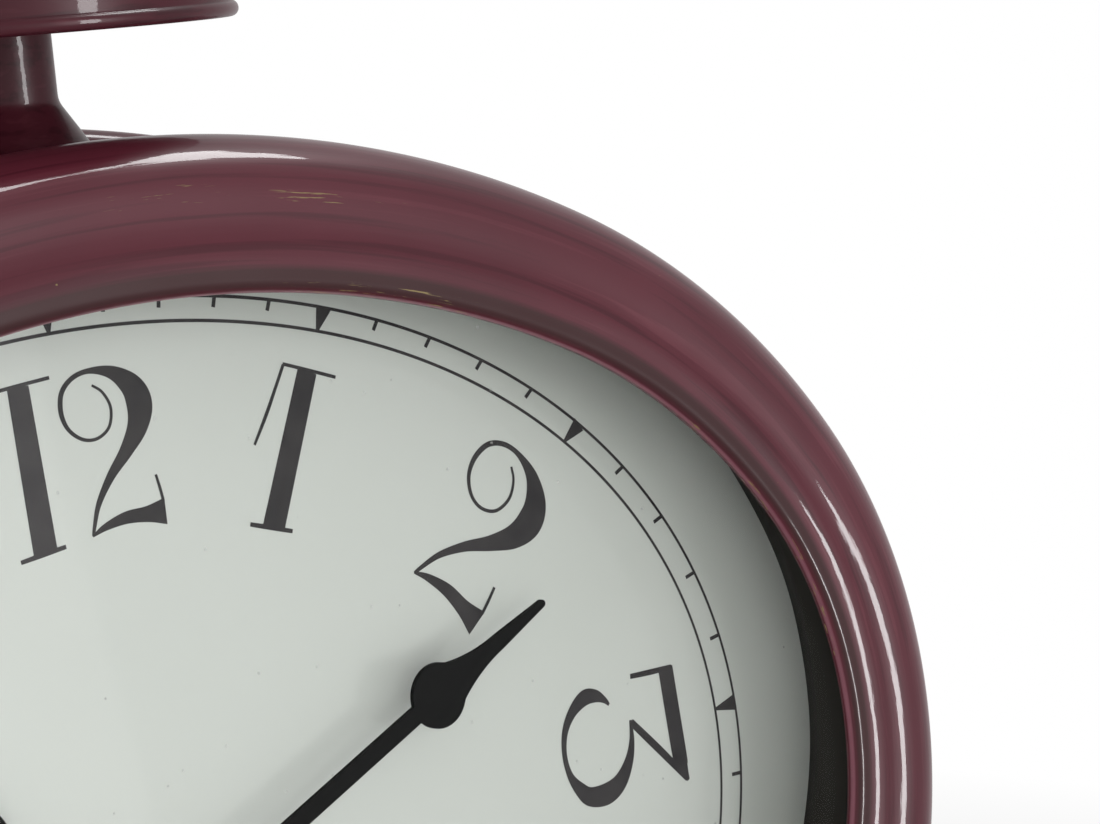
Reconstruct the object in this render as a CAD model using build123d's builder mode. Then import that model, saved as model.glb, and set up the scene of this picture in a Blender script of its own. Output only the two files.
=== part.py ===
"""Oval table clock with a leaning face, a small platform on a post above and a flared base below.

Millimetres, +Z up, +X to the viewer's right, the face towards -Y.
The origin is on the table, under the middle of the base.
"""

import os
from math import cos, pi, radians, sin

from build123d import *

os.makedirs("parts", exist_ok=True)

# Stance: the face leans back, while the depth of the case runs level
face_lean = 8.0
cut_overrun = 2.0

# Oval of the opening in the bezel, which every ring of the case follows at its own growth
lip_half_width = 117.5
lip_half_height = 83.7
oval_break_angles = (34.0, 63.0)

# Front bezel, heights counted from the dial's front face towards the viewer
glass_seat = 21.4
lip_edge = 1.0
lip_roll = 1.9
lip_rise = 1.5
cove_width = 4.8
crown_top = 26.8
crown_offset = 13.0
crown_round = 8.6
bezel_skirt_wall = 2.4
bezel_skirt_end = 15.4

# Case shell and the dial's ledge inside it
wall_growth = 16.2
shell_wall = 1.2
shell_rear = -22.0
ledge_width = 3.5
ledge_thick = 1.2

# Glass, its seal, the black spacer and the dial
seal_thick = 0.6
seal_width = 5.0
glass_thick = 2.2
glass_play = 1.0
spacer_wall = 1.0
spacer_play = 0.3
dial_thick = 0.8

# Rear hoop and back cover
hoop_round = 3.0
hoop_rim_step = 0.4
hoop_inner_growth = 15.2
hoop_flange_width = 7.4
hoop_flange_thick = 1.6
hoop_flange_drop = 1.8
cover_thick = 1.2
cover_play = 0.6
cover_window_margin = 7.0
cover_window_round = 6.0
cover_screw_count = 6
cover_screw_growth = 11.4
cover_screw_diameter = 3.0
cover_screw_head = 6.0
cover_screw_head_thick = 1.6
cover_screw_length = 6.0
screw_slot_width = 0.9
screw_slot_depth = 0.7
screw_hole_play = 0.15

# Time shown at rest
shown_hour_count = 10
shown_minute_count = 11.45

# Hands: slim shaft, round pear and spear
hand_thick = 0.8
minute_hand_length = 76.6
minute_pear_offset = 52.2
minute_pear_radius = 4.9
minute_shaft_width = 2.7
minute_hub_radius = 4.6
hour_hand_length = 53.0
hour_pear_offset = 32.0
hour_pear_radius = 4.9
hour_shaft_width = 2.9
hour_hub_radius = 5.6
spear_neck_width = 2.5
spear_tip_radius = 0.6
spear_neck_share = 0.46
spear_shoulder_angle = 42.0
hour_hand_height = 3.6
minute_hand_height = 6.6

# Movement case behind the dial
rubber_thick = 0.8
rubber_diameter = 22.0
movement_height = 56.0
movement_depth = 16.0
movement_wall = 1.6
movement_corner = 4.0
movement_cover_thick = 1.4
bay_height = 15.4
bay_wall = 1.2
bush_diameter = 8.0
bush_front = 3.0
bush_hole_play = 0.2
nut_across_flats = 11.0
nut_thick = 2.2
nut_washer_thick = 0.4
nut_washer_diameter = 14.0

# Motion work: twelve to one in two steps on one centre distance
gear_module = 0.4
cannon_teeth = 10
motion_wheel_teeth = 30
motion_pinion_teeth = 8
hour_wheel_teeth = 32
setting_teeth = 10
centre_wheel_teeth = 36
tooth_rise_share = 0.72
tooth_drop_share = 1.1
tooth_pitch_share = 0.36
tooth_tip_share = 0.2
wheel_thick = 1.0
pinion_thick = 1.3
wheel_gap = 0.3
running_play = 0.08
arbor_diameter = 3.1
arbor_thread_diameter = 2.6
arbor_front = 9.4
arbor_pivot_diameter = 1.6
hour_pipe_diameter = 5.0
hour_pipe_step = 0.2
axle_diameter = 1.3
hand_nut_radius = 2.6
hand_nut_height = 2.4
nut_round_share = 0.33
setting_arbor_diameter = 3.0
setting_knob_diameter = 11.0
setting_knob_height = 5.0
setting_knob_gap = 0.6
setting_knob_flutes = 20
setting_flute_radius = 0.5

# Step motor, circuit board and cell
cell_diameter = 14.0
cell_length = 48.5
cell_button_diameter = 5.5
cell_button_length = 1.4
contact_thick = 0.5
contact_width = 9.0
spring_length = 1.9
board_share = 0.36
board_height = 9.0
board_thick = 1.0
board_inset = 1.2
board_post_diameter = 3.0
stator_share = 0.45
stator_height = 8.0
stator_thick = 1.0
stator_eye = 4.0
stator_gap = 0.4
rest_share = 0.3
spring_tip_share = 0.34
coil_diameter = 6.0
coil_length = 14.0
coil_cheek = 1.0

# Post and platform above the case
post_radius = 6.6
post_foot_radius = 11.9
post_foot_rise = 8.4
post_length = 17.9
post_setback = 14.4
post_screw_diameter = 4.0
post_screw_length = 9.0
post_screw_head = 7.0
post_screw_head_thick = 2.6
saddle_width = 30.0
saddle_depth = 11.0
saddle_thick = 3.2
saddle_play = 0.6
platform_radius = 31.6
platform_height = 10.0
platform_wall = 1.2
platform_bead_radius = 1.1
platform_shoulder = 3.0
platform_dish_radius = 25.5
platform_dish_depth = 1.4
platform_screw_diameter = 4.0
platform_screw_head = 8.0
platform_screw_head_rise = 2.2
platform_screw_length = 9.0
head_round_share = 0.9

# Base under the case
base_half_width = 88.0
base_half_depth = 47.0
base_skirt = 9.0
base_bead_radius = 1.4
base_wall = 2.0
neck_half_width = 44.0
neck_half_depth = 14.0
neck_setforward = 9.0
neck_rise = 9.0
base_plate_thick = 2.0
base_plate_ledge = 2.0
plate_play = 0.1
flare_width_share = 0.36
flare_depth_share = 0.3
flare_rise = 2.6
flare_height = 6.4
flare_shares = (0.0, 0.2, 0.4, 0.6, 0.8, 1.0)
neck_bottom_gap = 2.7
base_screw_diameter = 5.0
base_screw_spread = 50.0
base_screw_length = 12.0
base_screw_head = 9.0
base_screw_head_thick = 3.2
base_saddle_width = 72.0
base_saddle_depth = 14.0
base_saddle_play = 1.8
base_saddle_rise = 7.7
pad_diameter = 14.0
pad_height = 2.6
pad_recess = 1.0
pad_across_share = 0.59
pad_along_share = 0.49

# Derived places
lean = radians(face_lean)
base_bottom = pad_height - pad_recess
skirt_top = base_bottom + base_skirt
neck_bottom = skirt_top + flare_height
rim_growth = crown_offset + crown_round
rim_bottom = neck_bottom + neck_bottom_gap
centre_height = rim_bottom + (lip_half_height + rim_growth) * cos(lean) - glass_seat * sin(lean)
outward = Vector(0, -cos(lean), sin(lean))
face_centre = Vector(0, 0, centre_height)
face_plane = Plane(origin=face_centre, x_dir=(1, 0, 0), z_dir=outward)
seat_centre = face_centre + outward * glass_seat
shell_growth = wall_growth + shell_wall
room_half_width = (cell_length + cell_button_length + spring_length) / 2 + contact_thick
room_half_height = movement_height / 2 - movement_wall
movement_width = 2 * (room_half_width + movement_wall)
movement_front = -(dial_thick + rubber_thick)
movement_inner = movement_front - movement_wall
movement_rear = movement_front - movement_depth
gear_distance = gear_module * (cannon_teeth + motion_wheel_teeth) / 2
setting_distance = gear_module * (setting_teeth + motion_wheel_teeth) / 2
motion_x = gear_distance
setting_x = motion_x + setting_distance
hour_wheel_top = movement_inner - wheel_gap
motion_wheel_top = hour_wheel_top - pinion_thick - wheel_gap
centre_wheel_top = motion_wheel_top - wheel_thick - 2 * wheel_gap
minute_angle = 90 - 360 * shown_minute_count / 60
hour_angle = 90 - 360 * (shown_hour_count + shown_minute_count / 60) / 12


def station(height):
    """Plane beside the face at a height before the dial, slid level along the case."""
    slide = (glass_seat - height) / cos(lean)
    return Plane(origin=seat_centre + Vector(0, slide, 0), x_dir=(1, 0, 0), z_dir=outward)


def oval_arcs(grow, a=lip_half_width, b=lip_half_height):
    """Tangent arcs of an oval: centre, radius, start and size, anticlockwise from its right end."""
    first, second = (radians(angle) for angle in oval_break_angles)
    middle = (first + second) / 2
    r2 = a**2 * b**2 / (a**2 * cos(middle) ** 2 + b**2 * sin(middle) ** 2) ** 1.5
    # The end and top radii close the quarter from (a, 0) to (0, b)
    p, q, u = 1 - cos(first), cos(second), a - r2 * (cos(first) - cos(second))
    s, t, v = sin(first), 1 - sin(second), b - r2 * (sin(second) - sin(first))
    r1 = (u * t - q * v) / (p * t - q * s)
    r3 = (p * v - u * s) / (p * t - q * s)
    cx, cy = a - r1 + (r1 - r2) * cos(first), (r1 - r2) * sin(first)
    f, g = oval_break_angles
    return [
        ((a - r1, 0), r1 + grow, 0, f),
        ((cx, cy), r2 + grow, f, g - f),
        ((0, b - r3), r3 + grow, g, 180 - 2 * g),
        ((-cx, cy), r2 + grow, 180 - g, g - f),
        ((r1 - a, 0), r1 + grow, 180 - f, 2 * f),
        ((-cx, -cy), r2 + grow, 180 + f, g - f),
        ((0, r3 - b), r3 + grow, 180 + g, 180 - 2 * g),
        ((cx, -cy), r2 + grow, 360 - g, g - f),
        ((a - r1, 0), r1 + grow, 360 - f, f),
    ]


def oval_sketch(grow, *halves):
    """Oval face at a growth from the bezel's opening or from other half sizes."""
    with BuildSketch() as oval:
        with BuildLine():
            for arc in oval_arcs(grow, *halves):
                CenterArc(*arc)
        make_face()
    return oval.sketch


def oval_ring(inner, outer):
    """Ring between two growths of the oval."""
    with BuildSketch() as ring:
        add(oval_sketch(outer))
        add(oval_sketch(inner), mode=Mode.SUBTRACT)
    return ring.sketch


def section_plane(plane):
    """Plane across the oval's right end, with the growth outward and the height towards the viewer."""
    end = plane.from_local_coords((lip_half_width, 0, 0))
    return Plane(origin=end, x_dir=plane.x_dir, z_dir=-plane.y_dir)


def gear_sketch(teeth, turn):
    """Wheel outline with straight-flanked teeth, one of them at the turn."""
    radius = gear_module * teeth / 2
    pitch = pi * gear_module
    root = radius - tooth_drop_share * gear_module
    tip = radius + tooth_rise_share * gear_module
    half_line = tooth_pitch_share * pitch / 2
    half_tip = tooth_tip_share * pitch / 2
    half_root = half_line + (half_line - half_tip) * (radius - root) / (tip - radius)
    sunk = root - gear_module
    with BuildSketch() as wheel:
        Circle(root)
        with PolarLocations(0, teeth, start_angle=turn):
            Polygon(
                (sunk, -half_root),
                (root, -half_root),
                (tip, -half_tip),
                (tip, half_tip),
                (root, half_root),
                (sunk, half_root),
                align=None,
            )
    return wheel.sketch


def hand_sketch(length, pear_offset, pear_radius, shaft_width, hub_radius, bore):
    """Flat hand along +X: hub, slim shaft, round pear and a spear that narrows to a round tip."""
    neck_offset = pear_offset + pear_radius + spear_neck_share * (length - pear_offset - pear_radius)
    tip_offset = length - spear_tip_radius
    shoulder_x = pear_offset + pear_radius * cos(radians(spear_shoulder_angle))
    shoulder_y = pear_radius * sin(radians(spear_shoulder_angle))
    with BuildSketch() as hand:
        Circle(hub_radius)
        with Locations((pear_offset / 2, 0)):
            Rectangle(pear_offset, shaft_width)
        with Locations((pear_offset, 0)):
            Circle(pear_radius)
        with BuildLine():
            neck_half = spear_neck_width / 2
            lower = TangentArc((neck_offset, -neck_half), (shoulder_x, -shoulder_y), tangent=(-1, 0))
            Line(lower @ 0, (tip_offset, -spear_tip_radius))
            Line((tip_offset, -spear_tip_radius), (tip_offset, spear_tip_radius))
            upper = TangentArc((neck_offset, neck_half), (shoulder_x, shoulder_y), tangent=(-1, 0))
            Line((tip_offset, spear_tip_radius), upper @ 0)
            Line(lower @ 1, upper @ 1)
        make_face()
        with Locations((tip_offset, 0)):
            Circle(spear_tip_radius)
        Circle(bore / 2, mode=Mode.SUBTRACT)
    return hand.sketch


# Outer volume of the shell, which the post and the base are cut to sit on
with BuildPart() as shell_volume:
    with BuildSketch(station(glass_seat)):
        add(oval_sketch(shell_growth))
    extrude(amount=(glass_seat - shell_rear) / cos(lean), dir=(0, 1, 0))

with BuildPart() as shell_hollow:
    with BuildSketch(station(glass_seat)):
        add(oval_sketch(wall_growth))
    extrude(amount=(glass_seat - shell_rear) / cos(lean), dir=(0, 1, 0))


def write(piece, name):
    """Label a finished piece and write it."""
    piece.part.label = name
    export_step(piece.part, f"parts/{name}.step")


# Front bezel: a lip, a cove, a round crown and a skirt over the shell, carried round the oval
crown_rise = crown_top - glass_seat
skirt_drop = bezel_skirt_end - glass_seat
cove_start = (lip_roll, lip_edge + lip_rise)
crown_point = (crown_offset, crown_rise)
cove_share = cove_width / (crown_offset - lip_roll)
cove_end = tuple(c + cove_share * (t - c) for c, t in zip(cove_start, crown_point))
with BuildPart() as front_bezel:
    with BuildLine(station(glass_seat)):
        for arc in oval_arcs(0):
            CenterArc(*arc)
    with BuildSketch(section_plane(station(glass_seat))):
        with BuildLine():
            Line((0, 0), (0, lip_edge))
            TangentArc(cove_start, (0, lip_edge), tangent=(-1, 0))
            TangentArc(cove_start, cove_end, tangent=(1, 0))
            TangentArc(crown_point, cove_end, tangent=(-1, 0))
            CenterArc((crown_offset, crown_rise - crown_round), crown_round, 0, 90)
            Polyline(
                (rim_growth, crown_rise - crown_round),
                (rim_growth, skirt_drop),
                (rim_growth - bezel_skirt_wall, skirt_drop),
                (rim_growth - bezel_skirt_wall, 0),
                (0, 0),
            )
        make_face()
    sweep()
write(front_bezel, "front_bezel")

# Case shell: the level wall of the case with an inner ledge for the dial
post_top_of_shell = seat_centre.Z + (lip_half_height + shell_growth) * cos(lean)
shell_bottom = seat_centre.Z - (lip_half_height + shell_growth) * cos(lean)
hole_length = lip_half_height + rim_growth
ledge_back = seat_centre.Y + (glass_seat + dial_thick + ledge_thick) / cos(lean)
wall_shift = (lip_half_height + wall_growth) * sin(lean)
post_screw_y = ledge_back + wall_shift + saddle_play + saddle_depth / 2
base_screw_y = ledge_back - wall_shift + base_saddle_play + base_saddle_depth / 2
with BuildPart() as case_shell:
    with BuildSketch(station(glass_seat)):
        add(oval_ring(wall_growth, shell_growth))
    extrude(amount=(glass_seat - shell_rear) / cos(lean), dir=(0, 1, 0))
    with BuildSketch(station(-dial_thick)):
        add(oval_ring(wall_growth - ledge_width, wall_growth + shell_wall / 2))
    extrude(amount=-ledge_thick)
    with BuildSketch(Plane.XY.offset(centre_height)):
        with Locations((0, post_screw_y)):
            Circle(post_screw_diameter / 2 + screw_hole_play)
    extrude(amount=hole_length, mode=Mode.SUBTRACT)
    with BuildSketch(Plane.XY.offset(centre_height)):
        with Locations((0, base_screw_y)):
            with GridLocations(base_screw_spread, 0, 2, 1):
                Circle(base_screw_diameter / 2 + screw_hole_play)
    extrude(amount=-hole_length, mode=Mode.SUBTRACT)
write(case_shell, "case_shell")

# Glass in its seal behind the lip, and the black spacer that keeps it off the dial
glass_front = glass_seat - seal_thick
glass_back = glass_front - glass_thick
glass_growth = wall_growth - glass_play
with BuildPart() as glass_seal:
    with BuildSketch(station(glass_seat)):
        add(oval_ring(glass_growth - seal_width, glass_growth))
    extrude(amount=-seal_thick)
write(glass_seal, "glass_seal")

with BuildPart() as front_glass:
    with BuildSketch(station(glass_front)):
        add(oval_sketch(glass_growth))
    extrude(amount=-glass_thick)
write(front_glass, "front_glass")

with BuildPart() as dial_spacer:
    with BuildSketch(station(glass_back)):
        add(oval_ring(wall_growth - spacer_play - spacer_wall, wall_growth - spacer_play))
    extrude(amount=glass_back / cos(lean), dir=(0, 1, 0))
write(dial_spacer, "dial_spacer")

with BuildPart() as dial:
    with BuildSketch(station(0)):
        add(oval_sketch(wall_growth - spacer_play))
    extrude(amount=-dial_thick)
    with BuildSketch(face_plane):
        Circle(bush_diameter / 2 + bush_hole_play)
    extrude(amount=-dial_thick, mode=Mode.SUBTRACT)
write(dial, "dial")

# Rear hoop: a round bead behind the shell with a flange that carries the cover
rear_plane = station(shell_rear)
hoop_flange_inner = hoop_inner_growth - hoop_flange_width
hoop_bead_at = rim_growth + hoop_rim_step - hoop_round
flange_back = hoop_flange_drop + hoop_flange_thick
cover_growth = hoop_inner_growth - cover_play
screw_ring = oval_sketch(cover_screw_growth).wire()
cover_screw_spots = [screw_ring @ (k / cover_screw_count) for k in range(cover_screw_count)]
with BuildPart() as rear_hoop:
    with BuildLine(rear_plane):
        for arc in oval_arcs(0):
            CenterArc(*arc)
    with BuildSketch(section_plane(rear_plane)):
        with BuildLine():
            Line((hoop_inner_growth, 0), (hoop_bead_at, 0))
            CenterArc((hoop_bead_at, -hoop_round), hoop_round, -90, 180)
            Polyline(
                (hoop_bead_at, -2 * hoop_round),
                (hoop_inner_growth, -2 * hoop_round),
                (hoop_inner_growth, -flange_back),
                (hoop_flange_inner, -flange_back),
                (hoop_flange_inner, -hoop_flange_drop),
                (hoop_inner_growth, -hoop_flange_drop),
                (hoop_inner_growth, 0),
            )
        make_face()
    sweep()
    with BuildSketch(rear_plane):
        with Locations(cover_screw_spots):
            Circle(cover_screw_diameter / 2 + screw_hole_play)
    extrude(amount=-flange_back - cut_overrun, mode=Mode.SUBTRACT)
write(rear_hoop, "rear_hoop")

# Back cover: a plate on the flange with a window for the setting knob and the cell
cover_back = -(flange_back + cover_thick)
cover_window = (movement_width + 2 * cover_window_margin, movement_height + 2 * cover_window_margin)
with BuildPart() as back_cover:
    with BuildSketch(rear_plane.offset(-flange_back)):
        add(oval_sketch(cover_growth))
        with Locations(cover_screw_spots):
            Circle(cover_screw_diameter / 2 + screw_hole_play, mode=Mode.SUBTRACT)
    extrude(amount=-cover_thick)
    with BuildSketch(face_plane):
        RectangleRounded(*cover_window, cover_window_round)
    extrude(amount=shell_rear - flange_back - cover_thick - cut_overrun, mode=Mode.SUBTRACT)
write(back_cover, "back_cover")

with BuildPart() as cover_screws:
    with BuildSketch(rear_plane.offset(cover_back)):
        with Locations(cover_screw_spots):
            Circle(cover_screw_diameter / 2)
    extrude(amount=cover_screw_length)
    with BuildSketch(rear_plane.offset(cover_back)):
        with Locations(cover_screw_spots):
            Circle(cover_screw_head / 2)
    extrude(amount=-cover_screw_head_thick)
    with BuildSketch(rear_plane.offset(cover_back - cover_screw_head_thick)):
        with Locations(cover_screw_spots):
            Rectangle(cover_screw_head + cut_overrun, screw_slot_width)
    extrude(amount=screw_slot_depth, mode=Mode.SUBTRACT)
write(cover_screws, "cover_screws")

# Movement case: a tray with a gear room above and a cell bay below, and the bush through the dial
bay_y = bay_height / 2 - room_half_height
room_bottom = bay_height + bay_wall - room_half_height
room_height = room_half_height - room_bottom
room_y = (room_half_height + room_bottom) / 2
cover_front = movement_rear + movement_cover_thick
post_inset = board_post_diameter / 2
cover_posts = [
    (x, y)
    for x in (post_inset - room_half_width, room_half_width - post_inset)
    for y in (room_bottom + post_inset, room_half_height - post_inset)
]
board_width = 2 * board_share * room_half_width
stator_width = 2 * stator_share * room_half_width
board_x = board_post_diameter + board_width / 2 - room_half_width
board_spot = (board_x, room_half_height - post_inset - board_post_diameter - board_height / 2)
stator_spot = (motion_x, room_half_height - stator_gap - stator_height / 2)
coil_spot = (motion_x, stator_spot[1] - stator_height / 2 - coil_diameter / 2 - coil_cheek)
rest_spots = [
    (board_spot[0] - rest_share * board_width, board_spot[1]),
    (board_spot[0] + rest_share * board_width, board_spot[1]),
    (stator_spot[0] - rest_share * stator_width, stator_spot[1]),
    (stator_spot[0] + rest_share * stator_width, stator_spot[1]),
]
with BuildPart() as movement_housing:
    with BuildSketch(face_plane.offset(movement_front)):
        RectangleRounded(movement_width, movement_height, movement_corner)
    extrude(amount=-movement_depth)
    with BuildSketch(face_plane.offset(movement_inner)):
        with Locations((0, bay_y)):
            Rectangle(2 * room_half_width, bay_height)
        with Locations((0, room_y)):
            Rectangle(2 * room_half_width, room_height)
    extrude(amount=-movement_depth, mode=Mode.SUBTRACT)
    with BuildSketch(face_plane.offset(movement_inner)):
        with Locations(cover_posts):
            Circle(board_post_diameter / 2)
    extrude(amount=cover_front - movement_inner)
    with BuildSketch(face_plane.offset(movement_inner)):
        with Locations(rest_spots):
            Circle(board_post_diameter / 2)
    extrude(amount=-board_inset)
    with BuildSketch(face_plane.offset(movement_inner)):
        with Locations((motion_x, 0), (setting_x, 0)):
            Circle(axle_diameter / 2)
    extrude(amount=motion_wheel_top - wheel_thick - movement_inner)
    with BuildSketch(face_plane.offset(movement_front)):
        Circle(bush_diameter / 2)
    extrude(amount=bush_front - movement_front)
    with BuildSketch(face_plane.offset(bush_front)):
        Circle(hour_pipe_diameter / 2 + running_play)
    extrude(amount=movement_inner - bush_front, mode=Mode.SUBTRACT)
write(movement_housing, "movement_housing")

with BuildPart() as movement_cover:
    with BuildSketch(face_plane.offset(cover_front)):
        with Locations((0, room_y)):
            Rectangle(2 * (room_half_width - running_play), room_height - 2 * running_play)
        Circle(arbor_pivot_diameter / 2 + running_play, mode=Mode.SUBTRACT)
        with Locations((setting_x, 0)):
            Circle(setting_arbor_diameter / 2 + running_play, mode=Mode.SUBTRACT)
    extrude(amount=-movement_cover_thick)
write(movement_cover, "movement_cover")

with BuildPart() as rubber_washer:
    with BuildSketch(face_plane.offset(-dial_thick)):
        Circle(rubber_diameter / 2)
        Circle(bush_diameter / 2 + bush_hole_play, mode=Mode.SUBTRACT)
    extrude(amount=-rubber_thick)
write(rubber_washer, "rubber_washer")

with BuildPart() as nut_washer:
    with BuildSketch(face_plane):
        Circle(nut_washer_diameter / 2)
        Circle(bush_diameter / 2 + bush_hole_play, mode=Mode.SUBTRACT)
    extrude(amount=nut_washer_thick)
write(nut_washer, "nut_washer")

with BuildPart() as bush_nut:
    with BuildSketch(face_plane.offset(nut_washer_thick)):
        RegularPolygon(nut_across_flats / 2, 6, major_radius=False)
        Circle(bush_diameter / 2 + running_play, mode=Mode.SUBTRACT)
    extrude(amount=nut_thick)
write(bush_nut, "bush_nut")

# Motion work: the centre wheel with its cannon pinion turns the motion wheel, which turns the hour wheel
cannon_top = motion_wheel_top + wheel_gap / 2
mesh_half_turn = 180
with BuildPart() as centre_wheel:
    with BuildSketch(face_plane.offset(centre_wheel_top)):
        add(gear_sketch(centre_wheel_teeth, 0))
    extrude(amount=-wheel_thick)
    with BuildSketch(face_plane.offset(cannon_top)):
        add(gear_sketch(cannon_teeth, 0))
    extrude(amount=centre_wheel_top - cannon_top)
    with BuildSketch(face_plane.offset(minute_hand_height)):
        Circle(arbor_diameter / 2)
    extrude(amount=centre_wheel_top - 2 * wheel_thick - minute_hand_height)
    with BuildSketch(face_plane.offset(movement_rear)):
        Circle(arbor_pivot_diameter / 2)
    extrude(amount=centre_wheel_top - movement_rear)
    with BuildSketch(face_plane.offset(minute_hand_height)):
        Circle(arbor_thread_diameter / 2)
    extrude(amount=arbor_front - minute_hand_height)
write(centre_wheel, "centre_wheel")

with BuildPart() as motion_wheel:
    with BuildSketch(face_plane.offset(hour_wheel_top)):
        with Locations((motion_x, 0)):
            add(gear_sketch(motion_pinion_teeth, mesh_half_turn))
    extrude(amount=motion_wheel_top - hour_wheel_top)
    with BuildSketch(face_plane.offset(motion_wheel_top)):
        with Locations((motion_x, 0)):
            add(gear_sketch(motion_wheel_teeth, mesh_half_turn + mesh_half_turn / motion_wheel_teeth))
    extrude(amount=-wheel_thick)
    with BuildSketch(face_plane.offset(hour_wheel_top)):
        with Locations((motion_x, 0)):
            Circle(axle_diameter / 2 + running_play)
    extrude(amount=motion_wheel_top - wheel_thick - hour_wheel_top, mode=Mode.SUBTRACT)
write(motion_wheel, "motion_wheel")

with BuildPart() as hour_wheel:
    with BuildSketch(face_plane.offset(hour_wheel_top)):
        add(gear_sketch(hour_wheel_teeth, mesh_half_turn / hour_wheel_teeth))
    extrude(amount=-wheel_thick)
    with BuildSketch(face_plane.offset(hour_wheel_top)):
        Circle(hour_pipe_diameter / 2)
    extrude(amount=hour_hand_height - hour_wheel_top)
    with BuildSketch(face_plane.offset(hour_hand_height)):
        Circle(hour_pipe_diameter / 2 - hour_pipe_step)
    extrude(amount=hand_thick)
    with BuildSketch(face_plane.offset(hour_hand_height + hand_thick)):
        Circle(arbor_diameter / 2 + running_play)
    extrude(amount=hour_wheel_top - wheel_thick - hour_hand_height - hand_thick, mode=Mode.SUBTRACT)
write(hour_wheel, "hour_wheel")

# Setting knob: a fluted knob on an arbor through the movement cover, geared to the motion wheel
knob_front = movement_rear - setting_knob_gap
knob_spot = (setting_x, 0)
with BuildPart() as setting_knob:
    with BuildSketch(face_plane.offset(cannon_top)):
        with Locations(knob_spot):
            add(gear_sketch(setting_teeth, mesh_half_turn))
    extrude(amount=centre_wheel_top - cannon_top)
    with BuildSketch(face_plane.offset(hour_wheel_top)):
        with Locations(knob_spot):
            Circle(setting_arbor_diameter / 2)
    extrude(amount=knob_front - hour_wheel_top)
    with BuildSketch(face_plane.offset(knob_front)):
        with Locations(knob_spot):
            Circle(setting_knob_diameter / 2)
            with PolarLocations(setting_knob_diameter / 2, setting_knob_flutes):
                Circle(setting_flute_radius, mode=Mode.SUBTRACT)
    extrude(amount=-setting_knob_height)
    with BuildSketch(face_plane.offset(hour_wheel_top)):
        with Locations(knob_spot):
            Circle(axle_diameter / 2 + running_play)
    extrude(amount=motion_wheel_top - wheel_thick - wheel_gap - hour_wheel_top, mode=Mode.SUBTRACT)
write(setting_knob, "setting_knob")

# Hands at the shown time, and the nut that holds the minute hand
with BuildPart() as hour_hand:
    with BuildSketch(face_plane.offset(hour_hand_height)):
        add(
            hand_sketch(
                hour_hand_length,
                hour_pear_offset,
                hour_pear_radius,
                hour_shaft_width,
                hour_hub_radius,
                hour_pipe_diameter - 2 * hour_pipe_step,
            ),
            rotation=hour_angle,
        )
    extrude(amount=hand_thick)
write(hour_hand, "hour_hand")

with BuildPart() as minute_hand:
    with BuildSketch(face_plane.offset(minute_hand_height)):
        add(
            hand_sketch(
                minute_hand_length,
                minute_pear_offset,
                minute_pear_radius,
                minute_shaft_width,
                minute_hub_radius,
                arbor_thread_diameter,
            ),
            rotation=minute_angle,
        )
    extrude(amount=hand_thick)
write(minute_hand, "minute_hand")

nut_seat = minute_hand_height + hand_thick
with BuildPart() as hand_nut:
    with BuildSketch(face_plane.offset(nut_seat)):
        Circle(hand_nut_radius)
    extrude(amount=hand_nut_height)
    nut_end = hand_nut.faces().sort_by(Axis(face_centre, outward))[-1]
    fillet(nut_end.edges(), nut_round_share * hand_nut_height)
    with BuildSketch(face_plane.offset(nut_seat)):
        Circle(arbor_thread_diameter / 2 + running_play)
    extrude(amount=arbor_front - nut_seat, mode=Mode.SUBTRACT)
write(hand_nut, "hand_nut")

# Cell and its contacts in the bay, one plain and one with a spring boss
cell_depth = movement_inner - cell_diameter / 2
cell_end = room_half_width - contact_thick - cell_button_length
cell_plane = Plane(
    origin=face_plane.from_local_coords((cell_end, bay_y, cell_depth)),
    x_dir=face_plane.y_dir,
    z_dir=(1, 0, 0),
)
with BuildPart() as cell:
    with BuildSketch(cell_plane):
        Circle(cell_diameter / 2)
    extrude(amount=-cell_length)
    with BuildSketch(cell_plane):
        Circle(cell_button_diameter / 2)
    extrude(amount=cell_button_length)
write(cell, "cell")

with BuildPart() as cell_contacts:
    with BuildSketch(cell_plane.offset(cell_button_length)):
        Rectangle(contact_width, contact_width)
    extrude(amount=contact_thick)
    with BuildSketch(cell_plane.offset(-cell_length - spring_length)):
        Rectangle(contact_width, contact_width)
    extrude(amount=-contact_thick)
    with BuildSketch(cell_plane.offset(-cell_length - spring_length)):
        Circle(contact_width / 2)
    with BuildSketch(cell_plane.offset(-cell_length)):
        Circle(spring_tip_share * contact_width)
    loft()
write(cell_contacts, "cell_contacts")

# Circuit board, stator and coil on the rests inside the gear room
rest_top = movement_inner - board_inset
with BuildPart() as circuit_board:
    with BuildSketch(face_plane.offset(rest_top)):
        with Locations(board_spot):
            Rectangle(board_width, board_height)
    extrude(amount=-board_thick)
write(circuit_board, "circuit_board")

with BuildPart() as stator:
    with BuildSketch(face_plane.offset(rest_top)):
        with Locations(stator_spot):
            Rectangle(stator_width, stator_height)
            Circle(stator_eye / 2, mode=Mode.SUBTRACT)
    extrude(amount=-stator_thick)
write(stator, "stator")

coil_plane = Plane(
    origin=face_plane.from_local_coords((*coil_spot, movement_inner - coil_diameter / 2 - coil_cheek)),
    x_dir=face_plane.y_dir,
    z_dir=(1, 0, 0),
)
with BuildPart() as motor_coil:
    with BuildSketch(coil_plane):
        Circle(coil_diameter / 2)
    extrude(amount=coil_length / 2, both=True)
    for side in (-1, 1):
        with BuildSketch(coil_plane.offset(side * coil_length / 2)):
            Rectangle(coil_diameter + 2 * coil_cheek, coil_diameter + 2 * coil_cheek)
        extrude(amount=side * coil_cheek)
write(motor_coil, "motor_coil")

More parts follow.
